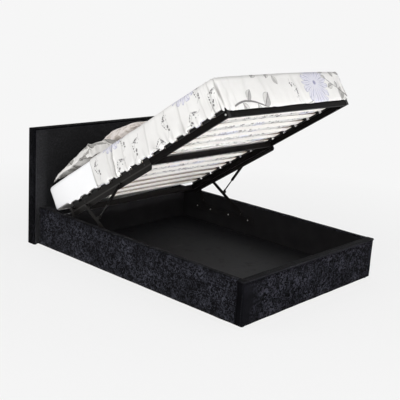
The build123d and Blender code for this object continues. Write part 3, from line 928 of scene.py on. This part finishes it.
def rounded_place(place, half, plan_radius, top_radius, low_radius):
    """The point of a rounded box that a point of the plain box moves to, and its way out."""
    x, y, z = place
    edge_radius = top_radius if z > 0 else low_radius
    over_x = abs(x) - (half[0] - plan_radius)
    over_y = abs(y) - (half[1] - plan_radius)
    sign_x = math.copysign(1, x)
    sign_y = math.copysign(1, y)
    sign_z = math.copysign(1, z)
    if over_x > 0 and over_y > 0:
        length = math.hypot(over_x, over_y)
        shrink = max(over_x, over_y) / length
        x = sign_x * (half[0] - plan_radius + over_x * shrink)
        y = sign_y * (half[1] - plan_radius + over_y * shrink)
        out = Vector((sign_x * over_x / length, sign_y * over_y / length, 0))
        inset = plan_radius - length * shrink
    elif half[0] - abs(x) < half[1] - abs(y):
        out = Vector((sign_x, 0, 0))
        inset = half[0] - abs(x)
    else:
        out = Vector((0, sign_y, 0))
        inset = half[1] - abs(y)
    over_edge = edge_radius - inset
    over_z = abs(z) - (half[2] - edge_radius)
    moved = Vector((x, y, z))
    if over_edge > 0 and over_z > 0:
        length = math.hypot(over_edge, over_z)
        shrink = max(over_edge, over_z) / length
        moved += out * (over_edge * (shrink - 1))
        moved.z = sign_z * (half[2] - edge_radius + over_z * shrink)
        way = out * over_edge + Vector((0, 0, sign_z * over_z))
        return moved, way.normalized()
    if over_z >= edge_radius - 0.0001:
        return moved, Vector((0, 0, sign_z))
    return moved, out


def settled_place(place, half, middle, grow):
    """A box's point once the mattress is rounded, crowned and slumped, its way out and height."""
    radii = [radius + grow for radius in (plan_round, top_edge_round, low_edge_round)]
    moved, way = rounded_place(place, half, *radii)
    height = (moved.z + half.z) / (half.z * 2)
    slump = foot_slump * smooth_step(-(moved.y + middle.y), slump_from, mattress_foot)
    moved.z -= height * (crown_drop * (moved.x / half.x) ** 2 + slump)
    return moved, way, height


def soft_box(low, high, grids):
    """A box about the origin, sliced at its own pitch on each axis, its middle and half sizes."""
    middle = Vector([(low[k] + high[k]) / 2 for k in range(3)])
    half = Vector([(high[k] - low[k]) / 2 for k in range(3)])
    form = block_form(-half, half)
    for axis in range(3):
        count = max(2, round(half[axis] * 2 / grids[axis]))
        slice_form(form, axis, -half[axis], half[axis], count)
    return form, middle, half


mattress_low = (-mattress_half, -mattress_foot, mattress_bottom)
mattress_high = (mattress_half, -mattress_head, mattress_top)
mattress_grid = (0.022, 0.012, 0.014)
uneven_size = 0.16
uneven_depth = 0.0025
drawn_in = 0.0015
mattress_form, mattress_middle, half_sizes = soft_box(mattress_low, mattress_high, mattress_grid)
for vert in mattress_form.verts:
    moved, way, height = settled_place(vert.co, half_sizes, mattress_middle, 0)
    uneven = noise.noise(moved / uneven_size + Vector((2, 0, 0))) * uneven_depth - drawn_in
    place = moved + way * uneven + mattress_middle
    lifted = smooth_step(place.x, *lift_across) * smooth_step(place.y, *lift_along) * (1 - height)
    vert.co = place + Vector((0, 0, corner_lift * lifted - sag_at(place)))
tilt_form(mattress_form)
mattress = make_piece(
    "mattress_body", mattress_form, "platform", ticking, ["mattress"]
)
smooth_piece(mattress)
print("mattress points:", len(mattress.data.vertices))

# %% [markdown]
# The printed cover is one cloth sleeve over the foot end of the mattress, tucked right under it.
# Its print is drawn by node groups on a UV map that unrolls the cloth: over the top, down each side
# and on under the mattress. The motifs are a many-petalled bloom, a leafy twig, a single leaf and a
# sprig of dots. The panel under the mattress is printed more closely, with dashes between.

# %% Print groups
motif_inputs = {
    "Across": 0.0,
    "Along": 0.0,
    "Centre across": 0.0,
    "Centre along": 0.0,
    "Turn": 0.0,
    "Size": 0.1,
}
petal_count = 17


def motif_group(name, outputs):
    """A motif's empty group, and coordinates counted from its centre, turned and sized."""
    given, made = new_group(name, motif_inputs, outputs)
    across = (given["Across"] - given["Centre across"]) / given["Size"]
    along = (given["Along"] - given["Centre along"]) / given["Size"]
    cosine = given["Turn"].math("COSINE")
    sine = given["Turn"].math("SINE")
    return made, across * cosine + along * sine, along * cosine - across * sine


def under(limit, value, soft):
    """1 where the value is under the limit, with a soft edge."""
    return (limit - value).span(0.0, soft)


def place_motif(motif, across, along, centre, degrees, size):
    """Use a motif's group at a place, a turn and a size."""
    inputs = {
        "Across": across,
        "Along": along,
        "Centre across": centre[0],
        "Centre along": centre[1],
        "Turn": math.radians(degrees),
        "Size": size,
    }
    return use_group(across.tree, motif, inputs)


def make_leaf_print():
    """An oval leaf from 0 to 1 along its own length, with a midrib and one darker half."""
    made, first, second = motif_group("Leaf print", ["Mask", "Line"])
    centred = first.scaled(2.0, -1.0)
    width = (1.0 - centred * centred) * 0.30
    away = abs(second)
    mask = under(width, away, 0.02)
    rib = under(0.03, away, 0.015)
    edge = under(away, width - 0.045, 0.03)
    half = second.over(0.0) * 0.45
    line = rib.or_more(edge).or_more(half)
    set_inputs(made, {"Mask": mask, "Line": line * mask})
    return made.id_data


def make_bloom_print():
    """A many-petalled bloom, mostly drawn by the lines between and along its narrow petals."""
    made, first, second = motif_group("Bloom print", ["Mask", "Line"])
    spot = result_of(made.id_data, "CombineXYZ", {0: first, 1: second})
    angle = second.math("ARCTAN2", first) + noise_value(spot, 6.0).scaled(0.30, -0.15)
    radius = (first * first + second * second).math("SQRT")
    ring = abs((angle * (petal_count / 2)).math("COSINE"))
    rim = ring.math("POWER", 0.5).scaled(0.16, 0.33)
    mask = under(rim, radius, 0.015)
    gaps = under(0.30, ring, 0.15)
    ribs = 1.0 - under(1.0 - ring, 0.012, 0.01)
    edge = under(radius, rim - 0.03, 0.02)
    eye = under(0.07, radius, 0.03)
    line = gaps.or_more(ribs * 0.5) * radius.span(0.05, 0.25)
    line = line.or_more(edge).or_more(eye)
    set_inputs(made, {"Mask": mask, "Line": line * mask})
    return made.id_data


leaf_print = make_leaf_print()
bloom_print = make_bloom_print()

# Leaves on the twig as their start along it and beside it, turn in degrees, and size
twig_leaves = [
    (0.22, 0.03, 62, 0.24),
    (0.38, 0.06, -38, 0.21),
    (0.58, 0.14, 75, 0.20),
    (0.74, 0.22, -22, 0.26),
    (0.98, 0.36, 38, 0.17),
]


def make_twig_print():
    """A thin bowed twig from 0 to 1 along its length, with leaves on both sides."""
    made, first, second = motif_group("Twig print", ["Mask", "Line"])
    away = abs(second - first * first * 0.38)
    mask = under(0.013, away, 0.007) * first.over(0.0) * first.math("LESS_THAN", 1.0)
    line = mask
    for start, aside, degrees, size in twig_leaves:
        leaf = place_motif(leaf_print, first, second, (start, aside), degrees, size)
        mask = mask.or_more(leaf["Mask"])
        line = line.or_more(leaf["Line"])
    set_inputs(made, {"Mask": mask, "Line": line})
    return made.id_data


def make_sprig_print():
    """A spray of small dark dots along a wavy line."""
    made, first, second = motif_group("Sprig print", ["Mask"])
    spot = result_of(made.id_data, "CombineXYZ", {0: first, 1: second})
    cells = {"Vector": spot, "Scale": 9.5, "Randomness": 1.0}
    dots = result_of(made.id_data, "TexVoronoi", cells, "Distance", feature="F1")
    away = abs(second - (first * 9.0).math("SINE") * 0.07)
    centred = first.scaled(2.0, -1.0)
    room = 1.0 - centred * centred
    inside = under(room * 0.15, away, 0.02)
    stem = under(0.014, away, 0.01) * room.over(0.0) * 0.5
    set_inputs(made, {"Mask": (under(0.42, dots, 0.12) * inside).or_more(stem)})
    return made.id_data


twig_print = make_twig_print()
sprig_print = make_sprig_print()
print("print groups made")

# %% Printed cotton
print_repeat_across = 0.9
print_repeat_along = 0.75
print_start = 0.35

# Each motif as its group, its centre across and along the repeat, its turn in degrees, and its size
print_layout = [
    (bloom_print, (0.31, 0.60), 12, 0.29),
    (bloom_print, (0.72, 0.52), 40, 0.21),
    (twig_print, (0.33, 0.315), -14, 0.36),
    (twig_print, (0.86, 0.10), 160, 0.30),
    (leaf_print, (0.78, 0.155), 65, 0.075),
    (leaf_print, (0.60, 0.64), 120, 0.075),
    (leaf_print, (0.635, 0.665), 30, 0.06),
    (leaf_print, (0.52, 0.10), 200, 0.08),
    (sprig_print, (0.055, 0.385), 8, 0.165),
    (sprig_print, (0.045, 0.56), 70, 0.15),
    (sprig_print, (0.05, 0.03), 35, 0.17),
    (sprig_print, (0.13, 0.70), 20, 0.17),
    (sprig_print, (0.05, 0.22), 95, 0.15),
    (twig_print, (0.34, 0.44), 3, 0.34),
    (bloom_print, (0.60, 0.00), 5, 0.20),
    (twig_print, (0.72, 0.70), 185, 0.28),
]

# The panel under the mattress is printed more closely
closer_by = 0.5
under_from = mattress_half + mattress_thickness
# Painted shade: the cover's panel under the mattress is painted greyer, as it lies in the slats'
# shade
underside_shade_grey = (0.52, 0.51, 0.50, 1)
cotton_white = (0.805, 0.795, 0.78, 1)
cotton_shade = (0.755, 0.745, 0.73, 1)
cotton_specular = 0.25
# Painted shade in the cover's creases, pleats and puckers, and along its hem
painted_crease_shade = (0.13, 0.12, 0.11, 1)
leaf_wash = (0.46, 0.45, 0.43, 1)
ink_grey = (0.075, 0.07, 0.075, 1)
petal_wash = (0.64, 0.64, 0.77, 1)
petal_line = (0.19, 0.19, 0.34, 1)

# Each motif's wash, its ink, and how strongly the ink shows
inks = {
    bloom_print: (petal_wash, petal_line, 0.75),
    leaf_print: (leaf_wash, ink_grey, 0.55),
    twig_print: (leaf_wash, ink_grey, 0.8),
    sprig_print: (leaf_wash, ink_grey, 0.9),
}


def half_drop(across, along, repeat_across, repeat_along):
    """Places within a repeat whose columns each start half a repeat further on."""
    column = (across / repeat_across).math("FLOOR")
    dropped = column.scaled(repeat_along / 2, along)
    return across % repeat_across, dropped % repeat_along


def make_printed_cotton():
    material, shader, object_place = new_finish("printed cotton")
    tree = object_place.tree
    unrolled = result_of(tree, "UVMap", uv_map="unrolled")
    across, along, _ = parts_of(unrolled)
    on_under = across.over(under_from)
    closer = on_under.scaled(closer_by, 1.0)
    along = along * closer + print_start
    across, along = half_drop(across * closer, along, print_repeat_across, print_repeat_along)
    dye = {"Place": object_place, "Color": cotton_white, "Shade": cotton_shade, "Unevenness": 1.0}
    cloth = use_group(tree, woven_cloth, dye)
    patchy = noise_value(object_place, 60.0, 3.0).span(0.25, 0.6)
    # Painted shade on the panel under the mattress
    colour = mix_colours(on_under * 0.4, cloth["Color"], underside_shade_grey)
    for motif, centre, degrees, size in print_layout:
        used = place_motif(motif, across, along, centre, degrees, size)
        wash, ink, strength = inks[motif]
        line = used["Mask"]
        if "Line" in used:
            colour = mix_colours(used["Mask"] * patchy.scaled(0.35, 0.3), colour, wash)
            line = used["Line"]
        colour = mix_colours(line * strength, colour, ink)
    dashes = noise_value(unrolled, 26.0, 3.0, 0.6, 1.2).span(0.55, 0.61)
    colour = mix_colours(dashes * on_under * 0.8, colour, ink_grey)
    # Painted shade in the creases, pleats and puckers and along the hem, read from the cloth's points
    painted_shade_attribute = result_of(tree, "Attribute", output="Fac", attribute_name="fold")
    colour = mix_colours(painted_shade_attribute * 0.7, colour, painted_crease_shade)
    dress(shader, colour, cloth, weave_depth)
    set_inputs(shader, {"Specular IOR Level": cotton_specular})
    return material


printed_cotton = make_printed_cotton()
print("motifs in the print:", len(print_layout))

# %% [markdown]
# The cover's cloth lies 3.5 mm outside the mattress. Creases are soft valleys with a ridge on each
# side, and no valley is deeper than 2.2 mm, so the mattress never shows through. The foot corners
# are gathered, so pleats run down round them, and the tucked edge puckers between the slats. Every
# wrinkle is a sum of simple functions of the place on the cloth. Shade in the creases, pleats and
# puckers and along the hem is painted into the cloth's colour, from a value kept on each point.

# %% Printed cover
cover_gap = 0.0035
cover_hem = 0.36
cover_grid = (0.0125, 0.0052, 0.0078)
hem_line = 0.010
# How dark the painted shadow along the hem line is
painted_hem_shadow = 0.5
ridge_rise = 1.1
ridge_gain = 2.0
deepest_valley = -0.0022
full_fold = 0.016
crease_shake = 0.014
crease_reach = 3
least_share = 0.05
pucker_band = 0.07
hem_blend = 0.02
corner_across = 0.10
corner_along = 0.11
corner_step = 0.1
pleat_depth = 0.0085
pleat_offset = 0.3
side_pucker_depth = 0.0026
foot_pucker_depth = 0.0012
hem_wave_deep = 0.006
hem_wave_wide = 0.003
# The stretch of the side where the cloth is gathered most
gathered_from = (0.85, 1.05)
gathered_until = (1.40, 1.48)
# Slow waves all over the cloth, as their size, their depth and a shift that keeps them apart
cloth_waves = [(0.19, 0.0030, (0, 7, 0)), (0.055, 0.0010, (4, 0, 0))]

# Creases down each side, as their place along the platform at the bottom and at the top edge,
# their depth and their width
side_creases = [
    (0.578, 0.632, 0.0220, 0.0095),
    (0.535, 0.555, 0.0035, 0.0100),
    (0.698, 0.738, 0.0040, 0.0085),
    (0.800, 0.815, 0.0012, 0.0150),
    (0.935, 0.992, 0.0050, 0.0085),
    (1.070, 1.095, 0.0014, 0.0140),
    (1.190, 1.180, 0.0018, 0.0100),
    (1.288, 1.325, 0.0060, 0.0085),
    (1.400, 1.385, 0.0016, 0.0100),
    (1.490, 1.520, 0.0040, 0.0080),
]
# The foot end's creases in the same way, with their places across the bed
foot_creases = [
    (-0.43, -0.40, 0.0050, 0.018),
    (-0.20, -0.26, 0.0040, 0.022),
    (0.12, 0.08, 0.0045, 0.020),
    (0.37, 0.42, 0.0050, 0.018),
]


def bell(distance, width):
    share = distance / width
    return math.exp(-share * share)


def fold_at(distance, width):
    """A valley with a ridge on each side."""
    share = distance / width
    out = (ridge_rise * share * share - 1) * bell(distance, width)
    return max(out, out * ridge_gain)


def creased(creases, place_along, height, seed):
    """The sum of a row of creases at a place along a side, and the painted shade they give there."""
    out = 0
    fold = 0
    for bottom, top, depth, width in creases:
        line = bottom + (top - bottom) * height
        line += noise.noise(Vector((height * 3, bottom * 9, seed))) * crease_shake
        if abs(place_along - line) < width * crease_reach:
            out += fold_at(place_along - line, width) * depth
            fold += bell(place_along - line, width * 0.8) * min(1, depth / full_fold)
    return out, fold


def pucker_at(along, pitch, slow_pitch, sway):
    """A fine wave whose pitch shifts slowly along the edge."""
    return math.sin(along / pitch + sway * math.sin(along / slow_pitch))


def cover_wrinkle(place, way, low_share):
    """How far the cloth stands out at a place on the level platform, and its painted shade there."""
    along = -place.y
    height = (place.z - mattress_bottom) / mattress_thickness
    out = 0
    for size, depth, shift in cloth_waves:
        out += noise.noise(place / size + Vector(shift)) * depth
    # Painted shade: darker in crease valleys, pucker hollows and corner pleats, and along the hem
    fold = 0
    side_share = abs(way.x) ** 2
    foot_share = max(0, -way.y) ** 2
    if side_share > least_share:
        crease, depth = creased(side_creases, along, height, math.copysign(3, way.x))
        pucker = pucker_at(along, 0.0115, 0.045, 2.2)
        gathered = 0.6 * smooth_step(along, *gathered_from)
        gathered = 0.4 + gathered * (1 - smooth_step(along, *gathered_until))
        puckered = low_share * side_share * gathered
        out += crease * side_share + pucker * side_pucker_depth * puckered
        fold += depth * side_share + max(0, -pucker) * 0.35 * puckered
    if foot_share > least_share:
        crease, depth = creased(foot_creases, place.x, height, 5)
        pucker = pucker_at(place.x, 0.013, 0.05, 2.0)
        out += crease * foot_share + pucker * foot_pucker_depth * low_share * foot_share
        fold += depth * 0.3 * foot_share
    past_side = abs(place.x) - mattress_half
    past_foot = along - mattress_foot
    corner = bell(past_side, corner_across) * bell(past_foot, corner_along)
    if corner > 0.02:
        turned = math.atan2(-past_foot - corner_step, past_side + corner_step)
        pleat = noise.noise(Vector((turned * 7.0, height * 1.3, math.copysign(3, place.x)))) * 2.4
        pleat += noise.noise(Vector((turned * 19.0, height * 2.6, 8))) * 1.2
        strength = corner * (0.30 + 0.70 * (1 - height))
        out += (pleat - pleat_offset) * pleat_depth * strength
        fold += max(0, -pleat - 0.15) * 1.1 * strength
    # Painted shadow along the hem line, where the cloth's edge stands proud
    fold += painted_hem_shadow * (1 - smooth_step(along, cover_hem + hem_line / 2, cover_hem + hem_line))
    return max(out, deepest_valley), fold


def unroll(form, half, middle):
    """Lay the sleeve out flat on a UV map, by the side of the box that each face lies on."""
    unrolled = form.loops.layers.uv.new("unrolled")
    for face in form.faces:
        centre = face.calc_center_median()
        reach = [abs(centre[k]) / half[k] for k in range(3)]
        facing = reach.index(max(reach))
        for loop in face.loops:
            place = loop.vert.co
            across = place.x
            along = -middle.y - place.y
            if facing == 0:
                across = math.copysign(1, centre.x) * (half.x + half.z - place.z)
            elif facing == 1:
                along += half.z - place.z
            elif centre.z <= 0:
                across += half.x * 2 + half.z * 2
            loop[unrolled].uv = (across, along)


def make_cover_form():
    low = (-mattress_half - cover_gap, -mattress_foot - cover_gap, mattress_bottom - cover_gap)
    high = (mattress_half + cover_gap, -cover_hem, mattress_top + cover_gap)
    form, middle, half = soft_box(low, high, cover_grid)
    head_faces = [face for face in form.faces if face.calc_center_median().y > half.y - 0.001]
    bmesh.ops.delete(form, geom=head_faces, context="FACES")
    unroll(form, half, middle)
    # Each point keeps the painted shade that the cloth's colour gets there
    painted_shade_attribute = form.verts.layers.float.new("fold")
    full = Vector((half.x, (mattress_foot - mattress_head) / 2 + cover_gap, half.z))
    from_middle = Vector((0, half.y - full.y, 0))
    moved_to = {}
    for vert in form.verts:
        start = vert.co + from_middle
        moved, way, _ = settled_place(start, full, middle - from_middle, cover_gap)
        place = moved - from_middle + middle
        low_share = 1 - smooth_step(place.z, mattress_bottom, mattress_bottom + pucker_band)
        hem_share = smooth_step(-place.y, cover_hem, cover_hem + hem_blend)
        out, fold = cover_wrinkle(place, way, low_share)
        vert[painted_shade_attribute] = min(1, fold)
        place = place + way * out * (0.35 + 0.65 * hem_share)
        moved_to[vert] = place - Vector((0, 0, sag_at(place)))
    for vert, place in moved_to.items():
        if near(-vert.co.y, -half.y):
            deep_wave = hem_wave_deep * math.sin(place.z * 21)
            place.y += deep_wave + hem_wave_wide * math.sin(place.x * 17)
        vert.co = place
    tilt_form(form)
    return form


cover = make_piece(
    "printed_cover_cloth", make_cover_form(), "platform", printed_cotton,
    ["printed_cover"],
)
print("cover points:", len(cover.data.vertices))

# %% [markdown]
# A pillow is two cloths sewn together round the edge and blown up by its filling. Two grids make
# the cloths, the cloth simulation inflates them while the seam stays put, and the movement is
# capped so that the pillow keeps to its space. The underside is flat where it rests.

# %% Pillow shapes
pillow_size = (0.64, 0.50, 0.195)
top_pillow_size = (0.58, 0.48, 0.125)
pillow_drawn_in = 0.022
pillow_cap = 0.024
upper_share = 0.66
start_share = 0.88
rest_share = 0.8
merge_distance = 0.00005
seam_height = 0.0004
seam_share = 0.985
shrinking = -0.045
fill_frames = 18


def pillow_rise(across, along):
    """The share of its full height that the cloth reaches at a place of the plan."""
    fall = (1 - abs(across) ** 2.6) * (1 - abs(along) ** 2.6)
    return max(0, fall) ** 0.55


def seam_drop(across, along):
    """How far the seam hangs under its middle height, most at the corners."""
    corner = (abs(across) * abs(along)) ** 3
    edge = max(abs(across), abs(along)) ** 8
    return 0.10 * edge + 0.16 * corner


def seam_puckers(across, along):
    """Small gathers that run in from the seam."""
    edge = max(abs(across), abs(along))
    near_seam = math.exp(-(1 - edge) / 0.11) * (1 - math.exp(-(1 - edge) / 0.02))
    round_place = math.atan2(along, across)
    wave = math.sin(round_place * 34 + 3 * math.sin(round_place * 5))
    wave += 0.6 * math.sin(round_place * 57 + 2 * math.sin(round_place * 9))
    return wave * near_seam


def half_widths(size, across, along):
    """Half a pillow's width and depth at a place, as its sides pull in between its corners."""
    wide = size[0] / 2 - pillow_drawn_in * (1 - along * along)
    deep = size[1] / 2 - pillow_drawn_in * (1 - across * across)
    return wide, deep


def make_pillow_form(size, seed):
    form = bmesh.new()
    bmesh.ops.create_grid(form, x_segments=72, y_segments=56, size=1)
    for vert in form.verts:
        across, along = vert.co.x, vert.co.y
        wide, deep = half_widths(size, across, along)
        uneven = 1 + 0.14 * noise.noise(Vector((across * 1.6, along * 1.6, seed)))
        uneven += 0.05 * noise.noise(Vector((across * 5, along * 5, seed)))
        rise = pillow_rise(across, along) * uneven + 0.03 * seam_puckers(across, along)
        vert.co = Vector((across * wide, along * deep, rise * size[2] * upper_share * start_share))
    copied = bmesh.ops.duplicate(form, geom=form.verts[:] + form.edges[:] + form.faces[:])
    under_side = [part for part in copied["geom"] if isinstance(part, bmesh.types.BMVert)]
    bmesh.ops.scale(form, vec=(1, 1, -(1 - upper_share) / upper_share), verts=under_side)
    bmesh.ops.remove_doubles(form, verts=form.verts, dist=merge_distance)
    bmesh.ops.recalc_face_normals(form, faces=form.faces)
    return form


def on_seam(size, place):
    across = min(1, abs(place.x) / (size[0] / 2))
    along = min(1, abs(place.y) / (size[1] / 2))
    wide, deep = half_widths(size, across, along)
    return abs(place.z) < seam_height and max(abs(place.x) / wide, abs(place.y) / deep) > seam_share


def inflate(form, size):
    """Blow the pillow up with the cloth simulation and read back its points."""
    mesh = bpy.data.meshes.new("pillow trial")
    form.to_mesh(mesh)
    trial = bpy.data.objects.new("pillow trial", mesh)
    scene.collection.objects.link(trial)
    seam = trial.vertex_groups.new(name="seam")
    seam.add([vert.index for vert in mesh.vertices if on_seam(size, vert.co)], 1.0, "REPLACE")
    settings = trial.modifiers.new("filling", "CLOTH").settings
    settings.quality = 5
    settings.mass = 0.3
    settings.tension_stiffness = 12
    settings.compression_stiffness = 8
    settings.shear_stiffness = 4
    settings.bending_stiffness = 0.15
    settings.use_pressure = True
    settings.uniform_pressure_force = 3.5
    settings.vertex_group_mass = "seam"
    settings.effector_weights.gravity = 0
    settings.shrink_min = shrinking
    settings.shrink_max = shrinking
    for number in range(1, fill_frames + 1):
        scene.frame_set(number)
    posed = trial.evaluated_get(bpy.context.evaluated_depsgraph_get())
    points = [vert.co.copy() for vert in posed.data.vertices]
    bpy.data.objects.remove(trial)
    scene.frame_set(1)
    return points


def soft_limit(value, limit):
    """A value that bends over as it nears a limit."""
    if value <= 0:
        return value
    return value / (1 + (value / limit) ** 4) ** 0.25


def kept_within(value, limit):
    return max(-limit, min(limit, value))


def make_pillow(side, size, centre, turn_degrees, material, seed, lean):
    form = make_pillow_form(size, seed)
    under_height = size[2] * (1 - upper_share)
    points = inflate(form, size)
    form.verts.ensure_lookup_table()
    for vert, point in zip(form.verts, points):
        step = point - vert.co
        if step.length > pillow_cap:
            step *= pillow_cap / step.length
        vert.co += step
    for vert in form.verts:
        across = min(1, abs(vert.co.x) / (size[0] / 2))
        along = min(1, abs(vert.co.y) / (size[1] / 2))
        vert.co.z -= seam_drop(across, along) * size[2]
        vert.co.z = max(-under_height * rest_share, soft_limit(vert.co.z, size[2] * upper_share))
        vert.co.x = kept_within(vert.co.x, size[0] / 2)
        vert.co.y = kept_within(vert.co.y, size[1] / 2)
        foot_share = 0.5 - vert.co.y / size[1]
        if vert.co.z > 0:
            vert.co.z *= 1 + lean * (foot_share - 0.45)
    spin = Matrix.Rotation(math.radians(turn_degrees), 4, "Z")
    lift = Matrix.Translation(Vector(centre) + Vector((0, 0, under_height * rest_share)))
    bmesh.ops.transform(form, matrix=lift @ spin, verts=form.verts)
    tilt_form(form)
    pillow = make_piece(f"{side}_pillow_soft", form, "platform", material, [f"{side}_pillow"])
    smooth_piece(pillow)

# %% Pillows and their cases
case_sheen = 0.1

# Leaves on a pillowcase, as the place in its repeat, the turn in degrees and the size
case_leaves = [
    ((0.25, 0.10), 50, 0.75),
    ((0.60, 0.50), 130, 0.60),
    ((0.70, 0.15), 85, 0.55),
]


def make_pillowcase(name, ground, shade, motif, ink, repeat):
    """Cotton with large outlined leaves that repeat over it."""
    material, shader, object_place = new_finish(name)
    tree = object_place.tree
    turned = {"Vector": object_place, "Rotation": (platform_tilt, 0, 0)}
    level = parts_of(result_of(tree, "Mapping", turned))
    cloth = use_group(tree, woven_cloth, {"Place": object_place, "Color": ground, "Shade": shade})
    colour = cloth["Color"]
    across, along = half_drop(level[1], level[0] + level[2], repeat, repeat)
    for centre, degrees, size in case_leaves:
        centre = (centre[0] * repeat, centre[1] * repeat)
        leaf = place_motif(leaf_print, across, along, centre, degrees, size * repeat)
        colour = mix_colours(leaf["Mask"] * 0.6, colour, motif)
        colour = mix_colours(leaf["Line"] * 0.9, colour, ink)
    dress(shader, colour, cloth, weave_depth)
    set_inputs(shader, {"Sheen Weight": case_sheen})
    return material


grey_case = make_pillowcase(
    "grey pillowcase", (0.90, 0.88, 0.85, 1), (0.80, 0.78, 0.75, 1), (0.42, 0.40, 0.37, 1),
    (0.07, 0.065, 0.06, 1), 0.2,
)
blush_case = make_pillowcase(
    "blush pillowcase", (0.93, 0.86, 0.82, 1), (0.85, 0.77, 0.73, 1), (0.82, 0.75, 0.67, 1),
    (0.50, 0.42, 0.38, 1), 0.10,
)

pillow_sink = 0.002
top_pillow_sink = 0.066
pillow_head = -0.135
top_pillow_head = 0.055
pillow_side_gap = 0.014
top_aside = -0.03
pillow_seat = mattress_top - pillow_sink
pillow_along = pillow_head + pillow_size[1] / 2
pillow_aside = (pillow_size[0] + pillow_side_gap) / 2
left_place = (-pillow_aside, -pillow_along, pillow_seat)
right_place = (pillow_aside, -pillow_along, pillow_seat)
top_along = top_pillow_head + top_pillow_size[1] / 2
top_place = (top_aside, -top_along, mattress_top + pillow_size[2] - top_pillow_sink)

# Each pillow's side, size, place, turn in degrees, case, seed, and how much it swells to the foot
make_pillow("left", pillow_size, left_place, 1.5, grey_case, 1.0, 1.35)
make_pillow("right", pillow_size, right_place, -1.0, grey_case, 4.0, 0)
make_pillow("top", top_pillow_size, top_place, 0.5, blush_case, 7.0, -1.1)
print("pillows made")

# %% [markdown]
# The studio is a pale floor that fades into an even backdrop. One large soft lamp stands on the
# left, others in front of the foot, at the head and on the right, and a narrow beam reaches in
# under the platform to its slats. Colours then render about as they are written.

# %% Studio
backdrop_tone = 0.922
backdrop_colour = (backdrop_tone, backdrop_tone, backdrop_tone, 1)
floor_reach = 40.0
sky_strength = 0.5


def make_floor_finish():
    material, shader, object_place = new_finish("studio floor")
    tree = object_place.tree
    set_inputs(shader, {"Base Color": (0.86, 0.86, 0.86, 1), "Roughness": 0.9})
    plain = result_of(tree, "Emission", {"Color": backdrop_colour, "Strength": 1.0})
    away = result_of(tree, "VectorMath", {0: object_place}, "Value", operation="LENGTH")
    part = away.span(1.6, 3.6).scaled(0.15, 0.85)
    blend = result_of(tree, "MixShader", {0: part, 1: Value(shader.outputs[0]), 2: plain})
    set_inputs(tree.nodes["Material Output"], {"Surface": blend})
    return material


floor_form = bmesh.new()
bmesh.ops.create_grid(floor_form, x_segments=2, y_segments=2, size=floor_reach)
floor_mesh = bpy.data.meshes.new("studio_floor")
floor_form.to_mesh(floor_mesh)
floor_form.free()
floor = bpy.data.objects.new("studio_floor", floor_mesh)
floor_mesh.materials.append(make_floor_finish())
scene.collection.objects.link(floor)

world = bpy.data.worlds.new("studio")
scene.world = world
world.use_nodes = True
world_tree = world.node_tree
sky = world_tree.nodes["Background"]
set_inputs(sky, {"Color": (1, 1, 1, 1), "Strength": sky_strength})
seen = result_of(world_tree, "Background", {"Color": backdrop_colour, "Strength": 1.0})
rays = {output.name: Value(output) for output in add_node(world_tree, "LightPath").outputs}
straight = rays["Is Camera Ray"].or_more(rays["Is Glossy Ray"]).or_more(rays["Is Transmission Ray"])
chosen = result_of(world_tree, "MixShader", {0: straight, 1: Value(sky.outputs[0]), 2: seen})
set_inputs(world_tree.nodes["World Output"], {"Surface": chosen})

# Each lamp's place, the point it aims at, its size, its power and the spread of its beam in degrees
bed_middle = (0, 0, 0.5)
lamps = {
    "left_lamp": ((-3.9, -2.6, 2.2), bed_middle, (1.6, 1.6), 68, 180),
    "foot_lamp": ((0.9, -5.0, 0.9), bed_middle, (3.0, 1.4), 27, 180),
    "low_lamp": ((0.0, -3.6, 0.25), (0, -0.3, 0.9), (2.6, 0.3), 12, 180),
    "under_lamp": ((0.0, -5.2, 0.42), (0, 0.45, 0.52), (2.4, 0.3), 12, 26),
    "head_lamp": ((-4.0, 2.4, 2.6), bed_middle, (2.4, 2.0), 36, 180),
    "right_lamp": ((4.0, -2.0, 3.0), bed_middle, (2.4, 2.4), 20, 180),
}
for name, (place, target, size, power, spread_degrees) in lamps.items():
    data = bpy.data.lights.new(name, "AREA")
    data.spread = math.radians(spread_degrees)
    data.shape = "RECTANGLE"
    data.size, data.size_y = size
    data.energy = power
    lamp = bpy.data.objects.new(name, data)
    way = Vector(target) - Vector(place)
    aimed = way.to_track_quat("-Z", "Y").to_matrix().to_4x4()
    lamp.matrix_world = Matrix.Translation(place) @ aimed
    scene.collection.objects.link(lamp)

scene.view_settings.view_transform = "Standard"
print("lamps:", len(lamps))
